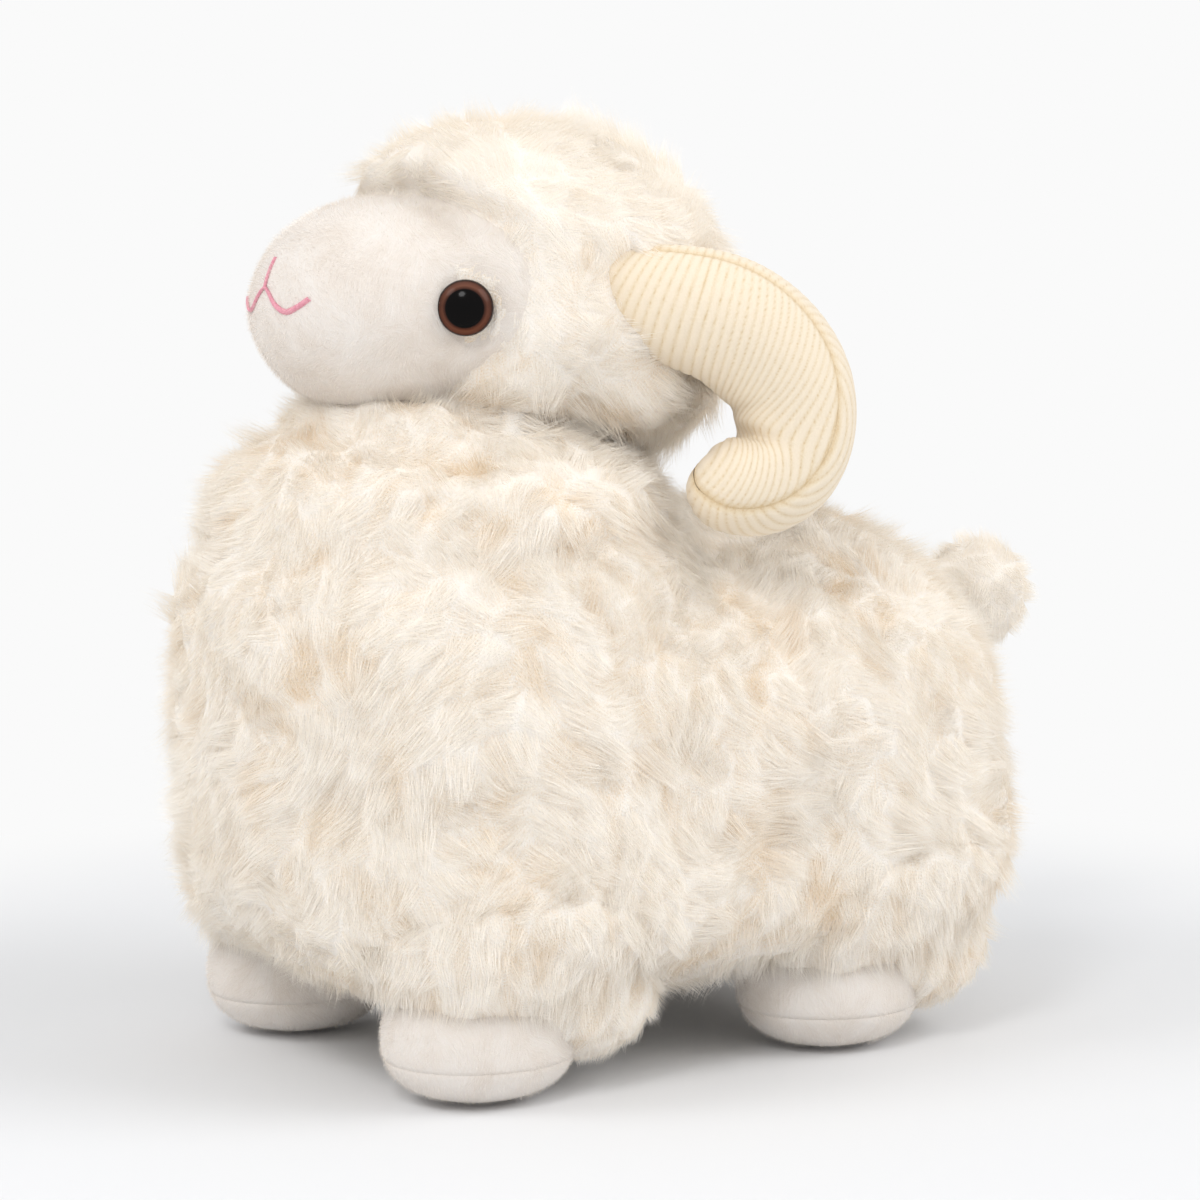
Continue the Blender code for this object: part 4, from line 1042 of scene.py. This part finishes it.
def make_face(forms, short_pile):
    form = forms["face"]
    directions, faces = ball(FACE_DETAIL)
    points = form.surface(directions, SHORT_PILE_DEPTH)
    for side_name, side in SIDES:
        axis, place = eye_place(form, side)
        distance = np.linalg.norm(points - place, axis=1)
        dimple = 1.0 - ease(distance, *SOCKET_REACH)
        points = points - axis * (SOCKET_DEPTH * dimple)[:, None]
    piece = solid("face_cover_pile", points, faces, short_pile)
    piece = add_relief(piece, short_pile, 0.10, **{"Flow Size": 20.0 * MM, "Droop": 0.6})
    spots = points_of(piece)
    cover = open_share(spots, forms, [("hood", HOOD_FLEECE_DEPTH)])
    for side_name, side in SIDES:
        distance = np.linalg.norm(spots - eye_place(form, side)[1], axis=1)
        cover *= ease(distance, EYE_DIAMETER / 2, EYE_DIAMETER / 2 + 0.5 * MM)
    add_fuzz(piece, "face_cover_tips", "sheep", ["face_cover"], cover)
    finish_piece(piece, "sheep", ["face_cover"])


def eye_place(form, side):
    axis = np.array([side * math.sin(EYE_TURN) * math.cos(EYE_LIFT),
                     -math.cos(EYE_TURN) * math.cos(EYE_LIFT), math.sin(EYE_LIFT)])
    return axis, form.surface(axis)[0] - axis * EYE_SEAT


def make_eyes(forms, acrylic):
    radius = EYE_DIAMETER / 2
    for side_name, side in SIDES:
        axis, place = eye_place(forms["face"], side)
        right = unit(np.cross([0.0, 0.0, 1.0], axis))
        up = np.cross(axis, right)
        profile = []
        for i in range(25):
            angle = math.radians(90.0) * i / 24
            rise = EYE_RIM + (EYE_DOME_HEIGHT - EYE_RIM) * math.cos(angle)
            profile.append((radius * math.sin(angle), rise))
        profile += [(radius - 0.1 * MM, EYE_RIM * 0.4), (radius - 0.5 * MM, -0.3 * MM), (0.0, -0.3 * MM)]
        points, across, height, faces = turned(profile, place, right, up, axis, radius)
        eye = solid(f"eye_{side_name}_dome", points, faces, acrylic)
        store(eye, "eye_radius", across)
        store(eye, "eye_height", height)
        finish_piece(eye, "sheep", [f"eye_{side_name}", f"eye_washer_{side_name}"])


def turned(profile, place, right, up, axis, radius):
    """A profile that starts and ends on the axis, turned about it."""
    points = [place + axis * profile[0][1]]
    across = [0.0]
    height = [0.5]
    for out, along in profile[1:-1]:
        for i in range(EYE_STEPS):
            angle = 2 * math.pi * i / EYE_STEPS
            points.append(place + axis * along + (right * math.cos(angle) + up * math.sin(angle)) * out)
            across.append(out / radius)
            height.append(0.5 + 0.5 * math.sin(angle) * out / radius)
    points.append(place + axis * profile[-1][1])
    across.append(1.0)
    height.append(0.5)
    faces = []
    rings = len(profile) - 2
    for i in range(EYE_STEPS):
        j = (i + 1) % EYE_STEPS
        faces.append((0, 1 + i, 1 + j))
        for ring in range(rings - 1):
            first = 1 + ring * EYE_STEPS
            second = first + EYE_STEPS
            faces.append((first + i, second + i, second + j, first + j))
        last = 1 + (rings - 1) * EYE_STEPS
        faces.append((last + i, len(points) - 1, last + j))
    return np.array(points), np.array(across), np.array(height), faces


def make_mouth(forms, thread):
    """Satin stitches across the smile and the philtrum."""
    form = forms["face"]
    halves = SMILE_SHARES + [(-across, down) for across, down in reversed(SMILE_SHARES[:-1])]
    smile = [(across * SMILE_WIDTH / 2, down * SMILE_DROP) for across, down in halves]
    philtrum = [(0.0, 0.0), (0.0, -PHILTRUM_HEIGHT / 2), (0.0, -PHILTRUM_HEIGHT)]
    points, faces = [], []
    for line, width in ((smile, SMILE_THREAD), (philtrum, PHILTRUM_THREAD)):
        route = smooth_line(np.array(line), 400)
        lengths = lengths_along(route)
        count = int(lengths[-1] / STITCH_SPACING)
        for i in range(count + 1):
            at = lengths[-1] * i / count
            places = at + np.array([-STITCH_REACH, 0.0, STITCH_REACH])
            behind, (across, down), ahead = np.stack([np.interp(places, lengths, column)
                                                      for column in route.T], axis=1)
            along = unit(ahead - behind)
            turn = np.array([-along[1], along[0]])
            lean = unit(turn + along * STITCH_LEAN)
            taper = 1.0
            if width == SMILE_THREAD:
                reach = abs(across) / (SMILE_WIDTH / 2)
                taper = 0.5 + 0.5 * float(ease(reach, 0.05, 0.45)) if across > 0.0 else 0.5
            half = width / 2 * taper
            ends = [(across + lean[0] * half * s, down + lean[1] * half * s)
                    for s in (-1.0, -0.5, 0.0, 0.5, 1.0)]
            add_stitch(form, ends, points, faces)
    piece = solid("mouth_satin_stitches", np.array(points), faces, thread)
    finish_piece(piece, "sheep", ["mouth_stitching"])


def add_stitch(form, line, points, faces):
    """One thread of satin stitch, bowed over its line."""
    count = len(line)
    start = len(points)
    rows = []
    for index, (across, down) in enumerate(line):
        direction = unit(np.array([across, -FACE_SIZE[1], MOUTH_RISE - down]))
        share = abs(index / (count - 1) * 2 - 1)
        lift = 0.5 * MM * (1.0 - share ** 2) - 0.55 * MM
        rows.append((form.surface(direction)[0] + direction * lift, direction))
    for index, (centre, direction) in enumerate(rows):
        before = rows[max(index - 1, 0)][0]
        after = rows[min(index + 1, count - 1)][0]
        along = unit(after - before)
        side = unit(np.cross(along, direction))
        share = abs(index / (count - 1) * 2 - 1)
        thick = STITCH_RADIUS * (1.0 - 0.5 * share ** 4)
        for k in range(STITCH_SIDES):
            angle = math.pi * 2 * k / STITCH_SIDES
            points.append(centre + side * thick * math.cos(angle) + direction * thick * math.sin(angle))
    for row in range(count - 1):
        for k in range(STITCH_SIDES):
            following = (k + 1) % STITCH_SIDES
            first = start + row * STITCH_SIDES
            second = first + STITCH_SIDES
            faces.append((first + k, first + following, second + following, second + k))
    faces.append([start + k for k in range(STITCH_SIDES)])
    faces.append([start + (count - 1) * STITCH_SIDES + k for k in reversed(range(STITCH_SIDES))])


def smooth_line(knots, count):
    """Points along a smooth curve through knots (Catmull-Rom), evenly spread over its stretches."""
    ends = np.concatenate([[2 * knots[0] - knots[1]], knots, [2 * knots[-1] - knots[-2]]])
    at = np.linspace(0.0, len(knots) - 1 - 1e-9, count)
    index = at.astype(int)
    t = (at - index)[:, None]
    p0, p1, p2, p3 = ends[index], ends[index + 1], ends[index + 2], ends[index + 3]
    return 0.5 * (2 * p1 + (p2 - p0) * t + (2 * p0 - 5 * p1 + 4 * p2 - p3) * t ** 2
                  + (3 * p1 - p0 - 3 * p2 + p3) * t ** 3)


def make_horns(forms, tree, corduroy):
    hood = forms["hood"].place
    for side_name, side in SIDES:
        knots = np.array([(side * row[0], row[1], row[2], row[3]) for row in HORN_LINE_SHARES])
        line = even_line(smooth_line(knots, HORN_RINGS))
        root = hood + np.array([side * HORN_ROOT[0], HORN_ROOT[1], HORN_ROOT[2]])
        centres = root + line[:, :3] * HORN_REACH
        radii = line[:, 3] * HORN_DIAMETER / 2
        length = lengths_along(centres)
        radii *= np.sqrt(1.0 - (1.0 - np.clip((length[-1] - length + 0.05 * MM) / HORN_TIP, 0.0, 1.0)) ** 2)
        chord = centres[-1] - centres[0]
        bulge = centres[len(centres) // 2] - centres[0]
        plane = unit(np.cross(bulge, chord))
        if plane[0] * side < 0.0:
            plane = -plane
        along = unit(np.gradient(centres, axis=0))
        # Bend of the line: towards the middle of its curve, longer where it is tighter
        steps = np.linalg.norm(np.gradient(centres, axis=0), axis=1)[:, None]
        bends = averaged(np.gradient(along, axis=0) / steps)
        outward = unit(plane - along * (along @ plane)[:, None])
        rim = np.cross(along, outward)
        # The panels' seam runs a little towards the outside of the horn, so its line shows there
        curve = centres - centres.mean(0)
        turn = SEAM_TURN if (curve[HORN_RINGS // 2] @ rim[HORN_RINGS // 2]) > 0.0 else -SEAM_TURN
        grain = grain_direction(plane)
        outward, rim = (outward * math.cos(turn) - rim * math.sin(turn),
                        rim * math.cos(turn) + outward * math.sin(turn))
        for face_name, face in (("outer", 1), ("inner", -1)):
            points, faces, wale, ribbed = horn_panel(centres, outward, rim, radii, bends, face, grain)
            carrier = solid("panel_carrier", points, faces)
            store(carrier, "wale", wale)
            store(carrier, "ribbed_share", ribbed)
            name = f"horn_{side_name}_{face_name}_corduroy"
            piece = run_tree(carrier, tree, name, {"Corduroy": corduroy}, ("wale_height",))
            bpy.data.objects.remove(carrier)
            nodes = [f"horn_{side_name}_{face_name}_panel"]
            if face_name == "outer":
                nodes.append(f"horn_{side_name}_stuffing")
            finish_piece(piece, f"horn_{side_name}", nodes)


def grain_direction(plane):
    """Direction across the ribs in the horn's plane: the ribs stand up and lean a little back."""
    level = unit(np.cross([0.0, 0.0, 1.0], plane))
    if level[1] < 0.0:
        level = -level
    upward = np.cross(plane, level)
    upward *= np.sign(upward[2])
    return level * math.sin(GRAIN_TILT) - upward * math.cos(GRAIN_TILT)


def averaged(rows, reach=12):
    """Rows of numbers, each the mean of those around it."""
    padded = np.concatenate([np.repeat(rows[:1], reach, axis=0), rows, np.repeat(rows[-1:], reach, axis=0)])
    return sum(padded[i:i + len(rows)] for i in range(2 * reach + 1)) / (2 * reach + 1)


def even_line(line):
    """The same line with its points at even distances, and its turns made softer."""
    length = lengths_along(line[:, :3])
    even = np.linspace(0.0, length[-1], len(line))
    line = np.stack([np.interp(even, length, column) for column in line.T], axis=1)
    softer = averaged(averaged(line, 8), 8)
    ends = np.clip(np.minimum(np.arange(len(line)), len(line) - 1 - np.arange(len(line))) / 16.0, 0.0, 1.0)
    return line + (softer - line) * ends[:, None]


def inner_share(angle, face, bend_rim, bend_out, radius):
    """Share of the radius that is kept on the inside of a bend, so that the cloth doesn't fold there."""
    towards = np.maximum(np.cos(angle) * bend_rim + face * np.sin(angle) * bend_out, 0.0)
    return (1.0 + (towards * radius / BEND_SHARE) ** 4) ** -0.25


def horn_panel(centres, outward, rim, radii, bends, face, grain):
    """Skin of one half of the horn, closed by a flat side where the other half meets it."""
    turns = np.linspace(0.0, 1.0, HORN_TURNS + 1)
    angle = -SEAM_LAP + turns * (math.pi + 2 * SEAM_LAP)
    from_middle = angle - math.pi / 2
    rows, wales, shares = [], [], []
    for centre, out, edge, radius, bend in zip(centres, outward, rim, radii, bends):
        bend_rim, bend_out = bend @ edge, bend @ out
        seam = np.minimum(turns, 1.0 - turns) * math.pi * radius / HORN_SEAM_WIDTH
        dip = HORN_SEAM_DEPTH * np.exp(-seam ** 2) * min(1.0, radius / (9.0 * MM)) ** 2
        reach = (radius - dip) * inner_share(angle, face, bend_rim, bend_out, radius)
        rows.append(centre + edge * (reach * np.cos(angle))[:, None]
                    + out * (face * reach * np.sin(angle))[:, None])
        wales.append(centre @ grain + (edge @ grain) * radius * -from_middle)
        shares.append(np.clip(seam / 1.5, 0.0, 1.0))
    points = np.array(rows).reshape(-1, 3)
    count = HORN_TURNS + 1
    faces = []
    rings = len(centres)
    for i in range(rings - 1):
        for j in range(HORN_TURNS):
            a = i * count + j
            faces.append((a, a + 1, a + 1 + count, a + count))
        a, z = i * count, i * count + HORN_TURNS
        faces.append((a, a + count, z + count, z))
    faces.append(list(reversed(range(count))))
    faces.append([(rings - 1) * count + j for j in range(count)])
    return points, faces, np.array(wales).ravel(), np.array(shares).ravel()


def make_tail(forms, tree, fleece, backing):
    directions, faces = ball(TAIL_DETAIL)
    points = forms["tail"].surface(directions, TAIL_FLEECE_DEPTH)
    # Painted light: the tail's backing is painted paler all over
    tail = add_relief(solid("tail_backing", points, faces, backing), backing, 0.35, -0.28)
    points = points_of(tail)
    store_cover(tail, open_share(points, forms, [("body", BODY_FLEECE_DEPTH)]) * 1.6, 0.62)
    fleece_panels(tail, [("tail_fleece_strands", "tail", ["tail_fleece"])], tree, fleece,
                  {"Seed": 9, "Rise": 0.75, "Lean": 0.6})
    finish_piece(tail, "tail", ["tail_stuffing", "tail_fleece"])


def add_light(name, place, target, size, power):
    data = bpy.data.lights.new(name, "AREA")
    data.shape = "DISK"
    data.size = size
    data.energy = power
    lamp = link(bpy.data.objects.new(name, data))
    lamp.location = place
    lamp.rotation_euler = (Vector(place) - Vector(target)).to_track_quat("Z", "Y").to_euler()


def make_studio():
    """White floor that keeps the shadow, white surroundings and soft light from the upper left."""
    scene = bpy.context.scene
    scene.view_settings.view_transform = "Standard"
    world = bpy.data.worlds.new("studio")
    scene.world = world
    world.use_nodes = True
    tree = world.node_tree
    tree.nodes.clear()
    seen = light_path(tree)
    ambient = add(tree, "ShaderNodeBackground", color=linear("#FFFFFF"), strength=WORLD_STRENGTH)
    white = add(tree, "ShaderNodeBackground", color=linear("#FAFAFA"), strength=1.0)
    both = add(tree, "ShaderNodeMixShader", seen, ambient, white)
    end = tree.nodes.new("ShaderNodeOutputWorld")
    tree.links.new(both, end.inputs["Surface"])

    material, tree, shader = new_material("white_card", Base_Color=linear("#E9EAEC"), Roughness=0.9,
                                          Specular_IOR_Level=0.1)
    place = output(add(tree, "ShaderNodeTexCoord"), "Object")
    distance = output(add(tree, "length", place), "Value")
    far = add(tree, "ShaderNodeMapRange", settings={"interpolation_type": "SMOOTHSTEP"},
              value=distance, from_min=SHADOW_REACH[0], from_max=SHADOW_REACH[1])
    white = add(tree, "ShaderNodeEmission", color=linear("#FAFAFA"), strength=1.0)
    factor = add(tree, "MULTIPLY", far, light_path(tree))
    both = add(tree, "ShaderNodeMixShader", factor, shader.outputs[0], white)
    tree.links.new(both, tree.nodes["Material Output"].inputs["Surface"])
    angles = [2 * math.pi * i / FLOOR_SIDES for i in range(FLOOR_SIDES)]
    rim = [(FLOOR_RADIUS * math.cos(a), FLOOR_RADIUS * math.sin(a), 0.0) for a in angles]
    mesh = bpy.data.meshes.new("floor")
    mesh.from_pydata(rim, [], [list(range(FLOOR_SIDES))])
    mesh.materials.append(material)
    link(bpy.data.objects.new("floor", mesh))

    target = (0.0, 0.0, 0.12)
    add_light("key", (-0.25, -1.35, 1.35), target, 0.8, KEY_POWER)
    add_light("fill", (1.1, 1.0, 1.25), target, 1.3, FILL_POWER)
    add_light("glint", (0.60, -0.70, 0.80), (0.04, -0.06, 0.19), 0.30, GLINT_POWER)


def light_path(tree):
    """1 for rays that should meet plain white: those of the camera, mirrors and glass."""
    path = add(tree, "ShaderNodeLightPath")
    seen = add(tree, "MAXIMUM", path, output(path, "Is Glossy Ray"))
    return add(tree, "MAXIMUM", seen, output(path, "Is Transmission Ray"))


def place_camera():
    azimuth, elevation = CAMERA_AZIMUTH, CAMERA_ELEVATION
    back = Vector((math.sin(azimuth) * math.cos(elevation), -math.cos(azimuth) * math.cos(elevation),
                   math.sin(elevation)))
    data = bpy.data.cameras.new("camera")
    data.lens = CAMERA_LENS_MM
    data.sensor_width = SENSOR_MM
    data.clip_start = 0.01
    camera = link(bpy.data.objects.new("camera", data))
    camera.location = CAMERA_TARGET + back * CAMERA_DISTANCE
    camera.rotation_euler = back.to_track_quat("Z", "Y").to_euler()
    bpy.context.scene.camera = camera


place_camera()
make_studio()
FLEECE_TREE = fleece_tree()
RELIEF_TREE = relief_tree()
FLEECE = fleece_material()
BACKING = backing_material()
SHORT_PILE = short_pile_material()
FUZZ = fuzz_material()
FORMS = place_forms()
make_body(FORMS, FLEECE_TREE, FLEECE, BACKING)
make_hood(FORMS, FLEECE_TREE, FLEECE, BACKING)
make_legs(FORMS, FLEECE_TREE, FLEECE, BACKING, SHORT_PILE)
make_tail(FORMS, FLEECE_TREE, FLEECE, BACKING)
make_face(FORMS, SHORT_PILE)
make_eyes(FORMS, eye_material())
make_mouth(FORMS, thread_material())
make_horns(FORMS, corduroy_tree(), corduroy_material())
